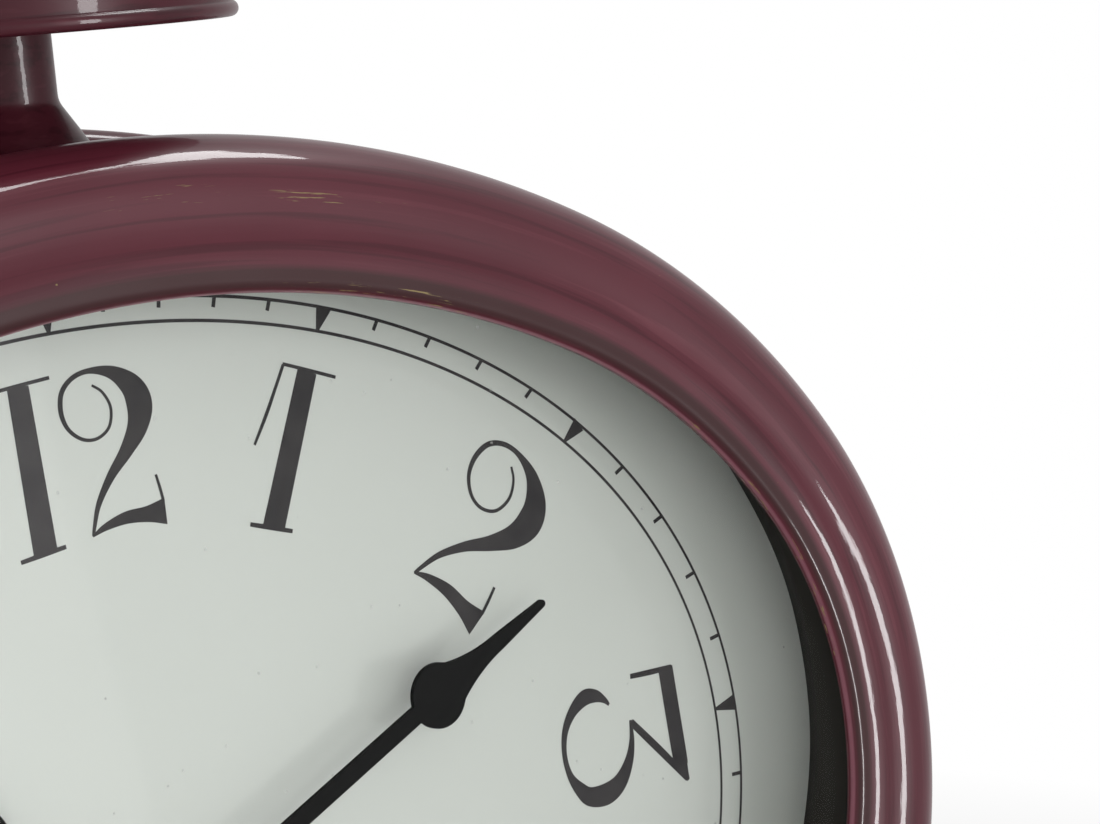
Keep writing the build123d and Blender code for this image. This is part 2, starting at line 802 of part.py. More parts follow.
# Post above the case, with a conical foot cut to the shell
platform_bottom = post_top_of_shell + post_length
dish_floor = platform_height - platform_dish_depth
dish_under = dish_floor - platform_wall
post_axis = Axis((0, post_setback, 0), (0, 0, 1))
post_plane = Plane(origin=(0, post_setback, 0), x_dir=(1, 0, 0), z_dir=(0, -1, 0))
post_top = platform_bottom + dish_under
inner_top = post_top_of_shell - shell_wall * cos(lean)
saddle_bottom = inner_top - saddle_thick
with BuildPart() as platform_post:
    with BuildSketch(post_plane):
        Polygon(
            (0, post_top_of_shell - post_foot_rise),
            (post_foot_radius, post_top_of_shell - post_foot_rise),
            (post_foot_radius, post_top_of_shell),
            (post_radius, post_top_of_shell + post_foot_rise),
            (post_radius, post_top),
            (0, post_top),
            align=None,
        )
    revolve(axis=post_axis)
    add(shell_volume.part, mode=Mode.SUBTRACT)
    with BuildSketch(Plane.XY.offset(saddle_bottom)):
        with Locations((0, post_screw_y)):
            Circle(post_screw_diameter / 2 + screw_hole_play)
    extrude(amount=post_screw_length, mode=Mode.SUBTRACT)
    with BuildSketch(Plane.XY.offset(post_top)):
        with Locations((0, post_setback)):
            Circle(platform_screw_diameter / 2 + screw_hole_play)
    extrude(amount=-platform_screw_length, mode=Mode.SUBTRACT)
write(platform_post, "platform_post")

# Saddle and screw that hold the post from inside the shell, behind the dial
with BuildPart() as post_saddle:
    with BuildSketch(Plane.XY.offset(saddle_bottom)):
        with Locations((0, post_screw_y)):
            Rectangle(saddle_width, saddle_depth)
            Circle(post_screw_diameter / 2 + screw_hole_play, mode=Mode.SUBTRACT)
    extrude(amount=saddle_thick + cut_overrun)
    add(shell_hollow.part, mode=Mode.INTERSECT)
write(post_saddle, "post_saddle")

with BuildPart() as post_screw:
    with BuildSketch(Plane.XY.offset(saddle_bottom)):
        with Locations((0, post_screw_y)):
            Circle(post_screw_head / 2)
    extrude(amount=-post_screw_head_thick)
    with BuildSketch(Plane.XY.offset(saddle_bottom)):
        with Locations((0, post_screw_y)):
            Circle(post_screw_diameter / 2)
    extrude(amount=post_screw_length)
    with BuildSketch(Plane.XY.offset(saddle_bottom - post_screw_head_thick)):
        with Locations((0, post_screw_y)):
            Rectangle(post_screw_head + cut_overrun, screw_slot_width)
    extrude(amount=screw_slot_depth, mode=Mode.SUBTRACT)
write(post_screw, "post_screw")

# Platform: a pressed disc with a turned-down skirt, a bead at its edge and a shallow dish
skirt_radius = platform_radius - platform_bead_radius / 2
platform_plane = Plane(origin=(0, post_setback, platform_bottom), x_dir=(1, 0, 0), z_dir=(0, -1, 0))
with BuildPart() as platform:
    with BuildSketch(platform_plane):
        with BuildLine():
            Polyline(
                (0, dish_under),
                (0, dish_floor),
                (platform_dish_radius - platform_dish_depth, dish_floor),
                (platform_dish_radius, platform_height),
                (skirt_radius - platform_shoulder, platform_height),
            )
            shoulder_centre = (skirt_radius - platform_shoulder, platform_height - platform_shoulder)
            CenterArc(shoulder_centre, platform_shoulder, 0, 90)
            Polyline(
                (skirt_radius, platform_height - platform_shoulder),
                (skirt_radius, platform_bead_radius),
                (skirt_radius - platform_wall, platform_bead_radius),
                (skirt_radius - platform_wall, dish_under),
                (0, dish_under),
            )
        make_face()
        with Locations((platform_radius - platform_bead_radius, platform_bead_radius)):
            Circle(platform_bead_radius)
    revolve(axis=post_axis)
    with BuildSketch(Plane.XY.offset(platform_bottom)):
        with Locations((0, post_setback)):
            Circle(platform_screw_diameter / 2 + screw_hole_play)
    extrude(amount=platform_height, mode=Mode.SUBTRACT)
write(platform, "platform")

screw_seat = platform_bottom + dish_floor
with BuildPart() as platform_screw:
    with BuildSketch(Plane.XY.offset(screw_seat)):
        with Locations((0, post_setback)):
            Circle(platform_screw_head / 2)
    extrude(amount=platform_screw_head_rise)
    fillet(platform_screw.faces().sort_by(Axis.Z)[-1].edges(), platform_screw_head_rise * head_round_share)
    with BuildSketch(Plane.XY.offset(screw_seat)):
        with Locations((0, post_setback)):
            Circle(platform_screw_diameter / 2)
    extrude(amount=-platform_screw_length)
    with BuildSketch(Plane.XY.offset(screw_seat + platform_screw_head_rise)):
        with Locations((0, post_setback)):
            Rectangle(platform_screw_head + cut_overrun, screw_slot_width)
    extrude(amount=-screw_slot_depth, mode=Mode.SUBTRACT)
write(platform_screw, "platform_screw")

# Base: an oval skirt with a beaded foot that flares up to a neck under the case
neck_top = shell_bottom + neck_rise
neck_centre = (0, -neck_setforward)
flare_half_width = neck_half_width + flare_width_share * (base_half_width - neck_half_width)
flare_half_depth = neck_half_depth + flare_depth_share * (base_half_depth - neck_half_depth)


def flare(share, low, middle, high):
    """Parabola through three sizes of the flare, read at a share of its run."""
    near, far = 1 - share, 2 * share - 1
    return -far * near * low + 4 * share * near * middle + share * far * high


with BuildPart() as base_plinth:
    with BuildSketch(Plane.XY.offset(base_bottom)):
        add(oval_sketch(0, base_half_width, base_half_depth))
    extrude(amount=base_skirt)
    for share in flare_shares:
        half_width = flare(share, base_half_width, flare_half_width, neck_half_width)
        half_depth = flare(share, base_half_depth, flare_half_depth, neck_half_depth)
        with BuildSketch(Plane.XY.offset(flare(share, skirt_top, skirt_top + flare_rise, neck_bottom))):
            with Locations((0, -share * neck_setforward)):
                add(oval_sketch(0, half_width, half_depth))
    loft(ruled=True)
    with BuildSketch(Plane.XY.offset(neck_bottom)):
        with Locations(neck_centre):
            add(oval_sketch(0, neck_half_width, neck_half_depth))
    extrude(amount=neck_top - neck_bottom)
    add(shell_volume.part, mode=Mode.SUBTRACT)
    with BuildLine(Plane.XY.offset(base_bottom + base_bead_radius)):
        for arc in oval_arcs(0, base_half_width, base_half_depth):
            CenterArc(*arc)
    with BuildSketch(Plane(origin=(base_half_width, 0, base_bottom + base_bead_radius), z_dir=(0, 1, 0))):
        Circle(base_bead_radius)
    sweep()
    with BuildSketch(Plane.XY.offset(base_bottom)):
        add(oval_sketch(-base_wall, base_half_width, base_half_depth))
    extrude(amount=base_plate_thick, mode=Mode.SUBTRACT)
    with BuildSketch(Plane.XY.offset(base_bottom)):
        add(oval_sketch(-base_wall - base_plate_ledge, base_half_width, base_half_depth))
    extrude(amount=base_skirt - base_wall, mode=Mode.SUBTRACT)
    with BuildSketch(Plane.XY.offset(base_bottom)):
        with Locations((0, base_screw_y)):
            with GridLocations(base_screw_spread, 0, 2, 1):
                Circle(base_screw_diameter / 2 + screw_hole_play)
    extrude(amount=neck_top, mode=Mode.SUBTRACT)
write(base_plinth, "base_plinth")

# Saddle and screws that hold the base from inside the shell, behind the dial
inner_bottom = shell_bottom + shell_wall * cos(lean)
base_saddle_top = inner_bottom + base_saddle_rise
with BuildPart() as base_saddle:
    with BuildSketch(Plane.XY.offset(base_saddle_top)):
        with Locations((0, base_screw_y)):
            Rectangle(base_saddle_width, base_saddle_depth)
            with GridLocations(base_screw_spread, 0, 2, 1):
                Circle(base_screw_diameter / 2 + screw_hole_play, mode=Mode.SUBTRACT)
    extrude(amount=-(base_saddle_top - base_bottom))
    add(shell_hollow.part, mode=Mode.INTERSECT)
write(base_saddle, "base_saddle")

with BuildPart() as base_screws:
    with BuildSketch(Plane.XY.offset(base_saddle_top)):
        with Locations((0, base_screw_y)):
            with GridLocations(base_screw_spread, 0, 2, 1):
                Circle(base_screw_head / 2)
    extrude(amount=base_screw_head_thick)
    with BuildSketch(Plane.XY.offset(base_saddle_top)):
        with Locations((0, base_screw_y)):
            with GridLocations(base_screw_spread, 0, 2, 1):
                Circle(base_screw_diameter / 2)
    extrude(amount=-base_screw_length)
    with BuildSketch(Plane.XY.offset(base_saddle_top + base_screw_head_thick)):
        with Locations((0, base_screw_y)):
            with GridLocations(base_screw_spread, 0, 2, 1):
                Rectangle(screw_slot_width, base_screw_head + cut_overrun)
    extrude(amount=-screw_slot_depth, mode=Mode.SUBTRACT)
write(base_screws, "base_screws")

# Plate that closes the base and the pads it stands on
pad_spread = (2 * pad_across_share * base_half_width, 2 * pad_along_share * base_half_depth)
with BuildPart() as base_plate:
    with BuildSketch(Plane.XY.offset(base_bottom)):
        add(oval_sketch(-base_wall - plate_play, base_half_width, base_half_depth))
    extrude(amount=base_plate_thick)
    with BuildSketch(Plane.XY.offset(base_bottom)):
        with GridLocations(*pad_spread, 2, 2):
            Circle(pad_diameter / 2)
    extrude(amount=pad_recess, mode=Mode.SUBTRACT)
write(base_plate, "base_plate")

with BuildPart() as foot_pads:
    with BuildSketch():
        with GridLocations(*pad_spread, 2, 2):
            Circle(pad_diameter / 2)
    extrude(amount=pad_height)
write(foot_pads, "foot_pads")
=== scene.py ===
import math

import bpy
import bmesh
import numpy as np
from mathutils import Matrix, Vector


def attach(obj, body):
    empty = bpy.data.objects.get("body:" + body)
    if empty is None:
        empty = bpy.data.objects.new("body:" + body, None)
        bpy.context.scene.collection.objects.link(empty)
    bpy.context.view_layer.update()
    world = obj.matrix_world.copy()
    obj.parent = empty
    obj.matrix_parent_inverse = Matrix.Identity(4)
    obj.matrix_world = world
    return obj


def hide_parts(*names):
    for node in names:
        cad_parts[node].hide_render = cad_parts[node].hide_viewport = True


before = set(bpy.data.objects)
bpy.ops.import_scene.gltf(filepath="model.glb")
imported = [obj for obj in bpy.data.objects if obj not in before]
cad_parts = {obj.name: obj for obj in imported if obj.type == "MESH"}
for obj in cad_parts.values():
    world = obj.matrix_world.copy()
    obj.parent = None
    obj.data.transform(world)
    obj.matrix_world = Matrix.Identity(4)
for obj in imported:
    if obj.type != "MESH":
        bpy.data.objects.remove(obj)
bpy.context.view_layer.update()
print("clock: frame loaded,", len(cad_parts), "nodes")

mm = 0.001
stance = dict(lean=math.radians(8.0), centreHeight=121.0, glassSeat=21.4)  # how the face stands, mm
lipOval = dict(a=117.5, b=83.7, breaks=(34.0, 63.0))  # opening in the bezel, and where its arcs meet, degrees
ringCount = 900  # steps round the oval
weld = dict(doubles=1e-7, slivers=1e-8)  # m

cosLean, sinLean = math.cos(stance["lean"]), math.sin(stance["lean"])
outward = np.array([0.0, -cosLean, sinLean])
upFace = np.array([0.0, sinLean, cosLean])
rightFace = np.array([1.0, 0.0, 0.0])
backward = np.array([0.0, 1.0, 0.0])
faceCentre = np.array([0.0, 0.0, stance["centreHeight"]])
seatCentre = faceCentre + outward * stance["glassSeat"]


# Oval of tangent arcs read by the direction of its normal, so a growth only lengthens each radius
def ovalRun(phi, grow, a=lipOval["a"], b=lipOval["b"]):
    f, g = (math.radians(v) for v in lipOval["breaks"])
    mid = (f + g) / 2
    r2 = a**2 * b**2 / (a**2 * math.cos(mid) ** 2 + b**2 * math.sin(mid) ** 2) ** 1.5
    p, q, u = 1 - math.cos(f), math.cos(g), a - r2 * (math.cos(f) - math.cos(g))
    s, t, v = math.sin(f), 1 - math.sin(g), b - r2 * (math.sin(g) - math.sin(f))
    r1 = (u * t - q * v) / (p * t - q * s)
    r3 = (p * v - u * s) / (p * t - q * s)
    c, n = np.abs(np.cos(phi)), np.abs(np.sin(phi))
    turn = np.arctan2(n, c)
    low, high = turn < f, turn >= g
    cx = np.where(low, a - r1, np.where(high, 0.0, a - r1 + (r1 - r2) * math.cos(f)))
    cy = np.where(low, 0.0, np.where(high, b - r3, (r1 - r2) * math.sin(f)))
    r = np.where(low, r1, np.where(high, r3, r2)) + grow
    return np.sign(np.cos(phi)) * (cx + r * c), np.sign(np.sin(phi)) * (cy + r * n)


# Points of the face: x to the right, y up the leaning face, z out of it, from a centre
def onFace(x, y, z, centre=faceCentre):
    x, y, z = np.broadcast_arrays(x, y, z)
    return centre + x[..., None] * rightFace + y[..., None] * upFace + z[..., None] * outward


# Circle arc that leaves the first point along a direction and ends at the second one
def arcTo(start, along, end, count):
    start, along, end = (np.array(v, float) for v in (start, along, end))
    along = along / np.linalg.norm(along)
    side = np.array([-along[1], along[0]])
    chord = end - start
    radius = chord @ chord / (2 * (chord @ side))
    sweep = 2 * math.atan2(chord @ side, chord @ along)
    t = np.linspace(0, sweep, count)
    return start + radius * (np.sin(t)[:, None] * along + (1 - np.cos(t))[:, None] * side)


# Corners of a closed run of points rounded by moving along each side and blending three points
def softCorners(points, radius, count=5):
    points = np.array(points, float)
    before, after = np.roll(points, 1, 0), np.roll(points, -1, 0)
    gapB, gapA = before - points, after - points
    lenB, lenA = np.linalg.norm(gapB, axis=1), np.linalg.norm(gapA, axis=1)
    cut = np.minimum(radius, 0.45 * np.minimum(lenB, lenA))
    p0 = points + gapB * (cut / lenB)[:, None]
    p2 = points + gapA * (cut / lenA)[:, None]
    t = np.linspace(0, 1, count)[None, :, None]
    bend = (1 - t) ** 2 * p0[:, None] + 2 * t * (1 - t) * points[:, None] + t**2 * p2[:, None]
    return bend.reshape(-1, 2)


# Quads between neighbouring rows and columns of a grid, closed where asked
def gridFaces(rows, cols, closeRows, closeCols):
    index = np.arange(rows * cols).reshape(rows, cols)
    here = index if closeRows else index[:-1]
    down = np.roll(index, -1, 0) if closeRows else index[1:]
    left = lambda m: m if closeCols else m[:, :-1]
    right = lambda m: np.roll(m, -1, 1) if closeCols else m[:, 1:]
    return np.stack([left(here), left(down), right(down), right(here)], -1).reshape(-1, 4)


# Even angles round a full turn
def fullTurn(count):
    return np.linspace(0, 2 * np.pi, count, endpoint=False)


# Way along a profile from its first point, mm
def wayAlong(profile):
    return np.concatenate([[0], np.cumsum(np.linalg.norm(np.diff(profile, axis=0), axis=1))])


# UV of a swept piece: the share of the turn, and the way along its profile
def turnUv(turn, way):
    return np.stack(np.broadcast_arrays(turn[:, None] / (2 * np.pi), way), -1)


# Mesh from points and faces in mm, merged at its poles and turned to face outwards
def putMesh(name, points, faces, body, stands=(), uv=None, closed=True, facing=None):
    points = np.asarray(points, float).reshape(-1, 3) * mm
    mesh = bpy.data.meshes.new(name)
    mesh.from_pydata(points.tolist(), [], [list(f) for f in np.asarray(faces).tolist()])
    if uv is not None:
        layer = mesh.uv_layers.new(name="run")
        corner = np.zeros(len(mesh.loops), np.int32)
        mesh.loops.foreach_get("vertex_index", corner)
        spots = np.asarray(uv, np.float32).reshape(-1, 2)[corner].reshape(-1, 4, 2)
        # A face that closes the turn reads one where the next turn begins at nought
        closing = np.ptp(spots[..., 0], axis=1) > 0.5
        spots[..., 0] += closing[:, None] & (spots[..., 0] < 0.5)
        layer.data.foreach_set("uv", spots.ravel())
    made = bmesh.new()
    made.from_mesh(mesh)
    bmesh.ops.remove_doubles(made, verts=made.verts, dist=weld["doubles"])
    bmesh.ops.dissolve_degenerate(made, edges=made.edges, dist=weld["slivers"])
    if closed:
        bmesh.ops.recalc_face_normals(made, faces=made.faces)
        if made.calc_volume(signed=True) < 0:
            bmesh.ops.reverse_faces(made, faces=made.faces)
    elif facing is not None:
        wrong = [f for f in made.faces if f.normal.dot(Vector(facing)) < 0]
        bmesh.ops.reverse_faces(made, faces=wrong)
    made.to_mesh(mesh)
    made.free()
    mesh.polygons.foreach_set("use_smooth", np.ones(len(mesh.polygons), bool))
    piece = bpy.data.objects.new(name, mesh)
    bpy.context.scene.collection.objects.link(piece)
    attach(piece, body)
    if stands:
        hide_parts(*stands)


# Closed profile with two more points near the ends of each long side, so that flat walls shade flat
def held(profile, near=0.2):
    profile = np.asarray(profile, float)
    side = np.roll(profile, -1, 0) - profile
    span = np.linalg.norm(side, axis=1)
    share = (near / np.maximum(span, near))[:, None]
    rows = np.stack([profile, profile + side * share, profile + side * (1 - share)], 1)
    keep = np.stack([span >= 0, span > 4 * near, span > 4 * near], 1)
    return rows[keep]


# Closed profile of growth and height carried round the oval, in a leaning plane through a centre
def ovalSweep(name, profile, centre, stands, count=ringCount, spread=None):
    phi = fullTurn(count)
    profile = held(profile)
    grow = profile[None, :, 0] + (spread(phi[:, None], profile[None, :, 0]) if spread else 0)
    x, y = ovalRun(phi[:, None], grow)
    points = onFace(x, y, profile[None, :, 1] + 0 * x, centre)
    uv = turnUv(phi, wayAlong(profile)[None, :])
    putMesh(name, points, gridFaces(count, len(profile), True, True), "case", stands, uv)


# Profile of radius and height turned about an upright axis, and raised where a lowest height asks for it
def turned(name, profile, axisY, stands, count, lowest=None):
    turn = fullTurn(count)
    profile = held(profile)
    x = np.cos(turn)[:, None] * profile[None, :, 0]
    y = axisY + np.sin(turn)[:, None] * profile[None, :, 0]
    z = profile[None, :, 1] + 0 * x
    if lowest is not None:
        z = np.maximum(z, lowest(x))
    points = np.stack([x, y, z], -1)
    uv = turnUv(turn, wayAlong(profile)[None, :])
    putMesh(name, points, gridFaces(count, len(profile), True, True), "case", stands, uv)


# Height of the shell's outside above the table at a place across, on its upper or lower side
def shellHeight(x, side, steps=400):
    quarter = np.linspace(0, np.pi / 2, steps)
    ox, oy = ovalRun(quarter, shell["growth"] + shell["wall"])
    return seatCentre[2] + side * cosLean * np.interp(np.abs(x), ox[::-1], oy[::-1])


# Bezel: lip, cove, crown and skirt
bezel = dict(lipEdge=1.0, lipRoll=1.9, lipRise=1.5, coveRun=4.8, crownAt=13.0, crownRise=5.4, crownRound=8.6,
             skirtWall=2.4, skirtEnd=-6.0, edge=0.6, edgeSoft=0.18, inEdge=0.3, lipSpread=1.45)
coveStart = np.array([bezel["lipRoll"], bezel["lipEdge"] + bezel["lipRise"]])
crownPoint = np.array([bezel["crownAt"], bezel["crownRise"]])
coveEnd = coveStart + bezel["coveRun"] / (bezel["crownAt"] - bezel["lipRoll"]) * (crownPoint - coveStart)
rim = bezel["crownAt"] + bezel["crownRound"]
skirtEnd, skirtIn = bezel["skirtEnd"], rim - bezel["skirtWall"]
crownArc = np.linspace(np.pi / 2, 0, 26)
bezelProfile = np.concatenate([
    [[0.0, 0.0], [0.0, bezel["lipEdge"] / 2]],
    arcTo(coveStart, (-1, 0), (0.0, bezel["lipEdge"]), 9)[::-1],
    arcTo(coveStart, (1, 0), coveEnd, 12)[1:],
    arcTo(crownPoint, (-1, 0), coveEnd, 12)[::-1][1:],
    np.stack([bezel["crownAt"] + bezel["crownRound"] * np.cos(crownArc),
              bezel["crownRise"] - bezel["crownRound"] * (1 - np.sin(crownArc))], 1)[1:],
    [[rim, skirtEnd + bezel["edge"]], [rim - bezel["edgeSoft"], skirtEnd + bezel["edgeSoft"]],
     [rim - bezel["edge"], skirtEnd], [skirtIn + bezel["inEdge"], skirtEnd],
     [skirtIn, skirtEnd + bezel["inEdge"]], [skirtIn, -bezel["inEdge"]], [skirtIn - bezel["inEdge"], 0.0]],
])


# The lip stands a little wider at the oval's two ends, by the square of the cosine, and not at all at the crown
def lipSpread(turn, grow):
    return bezel["lipSpread"] * np.cos(turn) ** 2 * np.clip(1 - grow / bezel["crownAt"], 0, 1)


ovalSweep("bezelRing", bezelProfile, seatCentre, ["front_bezel"], spread=lipSpread)
print("clock: bezel made")

# Shell: level wall between the bezel and the rear hoop
shell = dict(growth=16.2, wall=1.2, rear=-22.0)
depth = (stance["glassSeat"] - shell["rear"]) / cosLean
phi = fullTurn(ringCount)
along = np.linspace(0, 1, 12)
wallRun = np.concatenate([np.stack([0 * along + shell["growth"] + shell["wall"], along], 1),
                          np.stack([0 * along + shell["growth"], along[::-1]], 1)])
wx, wy = ovalRun(phi[:, None], wallRun[None, :, 0])
wallPoints = onFace(wx, wy, 0 * wx, seatCentre) + (wallRun[:, 1] * depth)[None, :, None] * backward
putMesh("caseWall", wallPoints, gridFaces(ringCount, len(wallRun), True, True), "case",
        ["case_shell"], turnUv(phi, wallRun[None, :, 1]))

# Rear hoop: bead and flange behind the shell
hoop = dict(inner=15.2, round=3.0, step=0.4, flangeWidth=7.4, flangeThick=1.6, flangeDrop=1.8, edge=0.4,
            count=720)
rearCentre = seatCentre + depth * backward
beadAt = rim + hoop["step"] - hoop["round"]
beadArc = np.linspace(np.pi / 2, -np.pi / 2, 24)
flangeBack = hoop["flangeDrop"] + hoop["flangeThick"]
hoopProfile = np.concatenate([
    [[hoop["inner"], 0.0]],
    np.stack([beadAt + hoop["round"] * np.cos(beadArc), hoop["round"] * (np.sin(beadArc) - 1)], 1),
    [[hoop["inner"] + hoop["edge"], -2 * hoop["round"]], [hoop["inner"], -2 * hoop["round"] + hoop["edge"]],
     [hoop["inner"], -flangeBack], [hoop["inner"] - hoop["flangeWidth"], -flangeBack],
     [hoop["inner"] - hoop["flangeWidth"], -hoop["flangeDrop"]], [hoop["inner"], -hoop["flangeDrop"]]],
])
ovalSweep("rearHoop", hoopProfile, rearCentre, ["rear_hoop"], hoop["count"])
print("clock: shell and hoop made")

# Black wall between the dial and the glass, its inside drawn in by a smooth step away from the oval's two ends
spacer = dict(inner=14.9, outer=15.9, top=18.55, draw=1.25, drawFrom=0.12, drawTo=0.50)
spacerShare = np.linspace(0, 1, 8)
spacerRun = np.concatenate([np.stack([0 * spacerShare + spacer["outer"], spacer["top"] * spacerShare], 1),
                            np.stack([0 * spacerShare + spacer["inner"], spacer["top"] * spacerShare[::-1]], 1)])
away = np.clip((np.abs(np.sin(phi)) - spacer["drawFrom"]) / (spacer["drawTo"] - spacer["drawFrom"]), 0, 1)
drawIn = spacer["draw"] * (away**2 * (3 - 2 * away))[:, None] * (spacerRun[None, :, 0] < spacer["outer"])
sx, sy = ovalRun(phi[:, None], spacerRun[None, :, 0] - drawIn)
slide = (stance["glassSeat"] - spacerRun[:, 1]) / cosLean
spacerPoints = onFace(sx, sy, 0 * sx, seatCentre) + slide[None, :, None] * backward
putMesh("spacerWall", spacerPoints, gridFaces(ringCount, len(spacerRun), True, True), "case",
        ["dial_spacer"])

# Post with a conical foot that sits on the shell
post = dict(axisY=14.4, radius=6.6, footRadius=11.9, footRise=8.4, length=17.9, topFit=7.4, middle=0.01,
            corner=0.9, count=192)
shellTop = float(shellHeight(np.zeros(1), 1)[0])
footLine = shellTop - post["footRise"]
postTop = shellTop + post["length"] + post["topFit"]
postProfile = softCorners([
    (post["middle"], footLine), (post["footRadius"], footLine), (post["footRadius"], shellTop),
    (post["radius"], shellTop + post["footRise"]), (post["radius"], postTop), (post["middle"], postTop)],
    post["corner"])
turned("platformPost", postProfile, post["axisY"], ["platform_post"], post["count"],
       lambda x: shellHeight(x, 1))

# Platform: pressed disc with a skirt, a beaded edge and a shallow dish
plate = dict(radius=31.6, height=10.0, wall=1.2, bead=1.1, shoulder=3.0, dishRadius=25.5, dishDepth=1.4,
             hole=2.15, inRound=0.8, aboveBead=0.6, count=288)
plateZ = shellTop + post["length"]
skirt = plate["radius"] - plate["bead"] / 2
floorTop = plate["height"] - plate["dishDepth"]
floorUnder = floorTop - plate["wall"]
skirtInside = skirt - plate["wall"]
dishFoot, dishTop = plate["dishRadius"] - plate["dishDepth"], plate["height"]
shoulderArc = np.linspace(np.pi / 2, 0, 16)
beadTurn = np.linspace(np.pi / 3, -np.pi, 24)
plateProfile = np.concatenate([
    [[plate["hole"], floorTop]],
    # soft step from the dish up to the shoulder
    [[dishFoot - 1.4, floorTop], [dishFoot - 0.5, floorTop + 0.06], [dishFoot + 0.3, floorTop + 0.36],
     [plate["dishRadius"] - 0.5, dishTop - 0.3], [plate["dishRadius"] + 0.2, dishTop - 0.05],
     [plate["dishRadius"] + 0.8, dishTop]],
    np.stack([skirt - plate["shoulder"] + plate["shoulder"] * np.cos(shoulderArc),
              plate["height"] - plate["shoulder"] * (1 - np.sin(shoulderArc))], 1),
    np.stack([plate["radius"] - plate["bead"] + plate["bead"] * np.cos(beadTurn),
              plate["bead"] * (1 + np.sin(beadTurn))], 1),
    [[skirtInside, plate["bead"] + plate["aboveBead"]], [skirtInside, floorUnder - plate["inRound"]],
     [skirtInside - plate["inRound"], floorUnder], [plate["hole"], floorUnder]],
])
plateProfile[:, 1] += plateZ
turned("topPlate", plateProfile, post["axisY"], ["platform"], plate["count"])
print("clock: post and platform made")

# Base: beaded oval skirt that flares up to a neck under the shell
base = dict(bottom=1.6, halfWidth=88.0, halfDepth=47.0, skirt=9.0, bead=1.4, wall=2.0, plate=2.0, ledge=2.0,
            neckWidth=44.0, neckDepth=14.0, neckForward=9.0, neckGap=2.7, neckRise=9.0,
            flareWidth=60.0, flareDepth=24.0, flareRise=2.6, edgeDrop=1.2, edgeIn=0.4, edgeLow=0.2,
            roofWidth=0.5, roofDepth=0.3, pole=1e-6, inCase=90.0, count=480)
rimBottom = seatCentre[2] - (lipOval["b"] + rim) * cosLean
neckZ = rimBottom - base["neckGap"]
skirtZ = base["bottom"] + base["skirt"]


# Rows of the base from the floor up: half sizes, shift towards the front and height
def baseRows():
    beadTurns = np.linspace(-0.5 * np.pi, 0.5 * np.pi, 12)
    grow = base["bead"] * np.cos(beadTurns)
    rows = [np.stack([base["halfWidth"] + grow, base["halfDepth"] + grow, 0 * grow,
                      base["bottom"] + base["bead"] * (1 + np.sin(beadTurns))], 1)]
    straight = np.linspace(0.5, 1, 6)
    rise = skirtZ - base["edgeDrop"] - base["bottom"]
    rows.append(np.stack([0 * straight + base["halfWidth"], 0 * straight + base["halfDepth"], 0 * straight,
                          base["bottom"] + straight * rise], 1))
    t = np.linspace(0, 1, 30)[:, None]
    stops = np.array([[base["halfWidth"] - base["edgeIn"], base["halfDepth"] - base["edgeIn"], 0.0,
                       skirtZ - base["edgeLow"]],
                      [base["flareWidth"], base["flareDepth"], base["neckForward"] / 2,
                       skirtZ + base["flareRise"]],
                      [base["neckWidth"], base["neckDepth"], base["neckForward"], neckZ]])
    # Parabola through the three stops at equal steps
    flare = (2 * t - 1) * (t - 1) * stops[0] + 4 * t * (1 - t) * stops[1] + t * (2 * t - 1) * stops[2]
    rows.append(flare)
    up = np.linspace(0.15, 1, 8)
    top = float(shellHeight(np.zeros(1), -1)[0]) + base["neckRise"]
    rows.append(np.stack([0 * up + base["neckWidth"], 0 * up + base["neckDepth"], 0 * up + base["neckForward"],
                          neckZ + up * (top - neckZ)], 1))
    return np.concatenate(rows)


rowsOut = baseRows()
inner = base["wall"] + base["ledge"]
roofZ, ledgeZ = skirtZ - base["wall"], base["bottom"] + base["plate"]
rowsIn = np.array([[base["neckWidth"] * base["roofWidth"], base["neckDepth"] * base["roofDepth"],
                    base["neckForward"] / 2, roofZ],
                   [base["halfWidth"] - inner, base["halfDepth"] - inner, 0.0, roofZ],
                   [base["halfWidth"] - inner, base["halfDepth"] - inner, 0.0, ledgeZ],
                   [base["halfWidth"] - base["wall"], base["halfDepth"] - base["wall"], 0.0, ledgeZ],
                   [base["halfWidth"] - base["wall"], base["halfDepth"] - base["wall"], 0.0, base["bottom"]]])
turnBase = fullTurn(base["count"])


# Each row is the oval of its own half sizes, read at the same turns, and the top follows the shell
def baseGrid(rows):
    runs = [np.stack(ovalRun(turnBase, 0.0, halfX, halfY) + (0 * turnBase + z,), -1) - [0.0, forward, 0.0]
            for halfX, halfY, forward, z in rows]
    points = np.stack(runs, 1)
    points[..., 2] = np.minimum(points[..., 2], shellHeight(points[..., 0], -1))
    return points


# Both ends run together to a pole; the upper one starts inside the case and is brought down to the shell
underCap = rowsIn[:1] * [0.0, 0.0, 1.0, 1.0] + [base["pole"], base["pole"], 0.0, 0.0]
topCap = np.array([[base["neckWidth"] * share, base["neckDepth"] * share, base["neckForward"], base["inCase"]]
                   for share in (0.75, 0.5, 0.25, base["pole"])])
basePoints = np.concatenate([baseGrid(rows) for rows in (underCap, rowsIn, rowsOut, topCap)], 1)
baseWay = np.cumsum(np.linalg.norm(np.diff(basePoints, axis=1, prepend=basePoints[:, :1]), axis=2), axis=1)
putMesh("basePlinth", basePoints, gridFaces(base["count"], basePoints.shape[1], True, False), "case",
        ["base_plinth"], turnUv(turnBase, baseWay))
print("clock: base made")

# Minute track: two oval lines, ticks and five-minute triangles, printed on the dial
track = dict(a=114.6, b=85.0, innerShare=0.959, line=0.5, tick=0.62, tickShare=0.46, wedge=2.7, wedgeTip=0.45,
             lift=0.04, barLift=0.01, count=720)


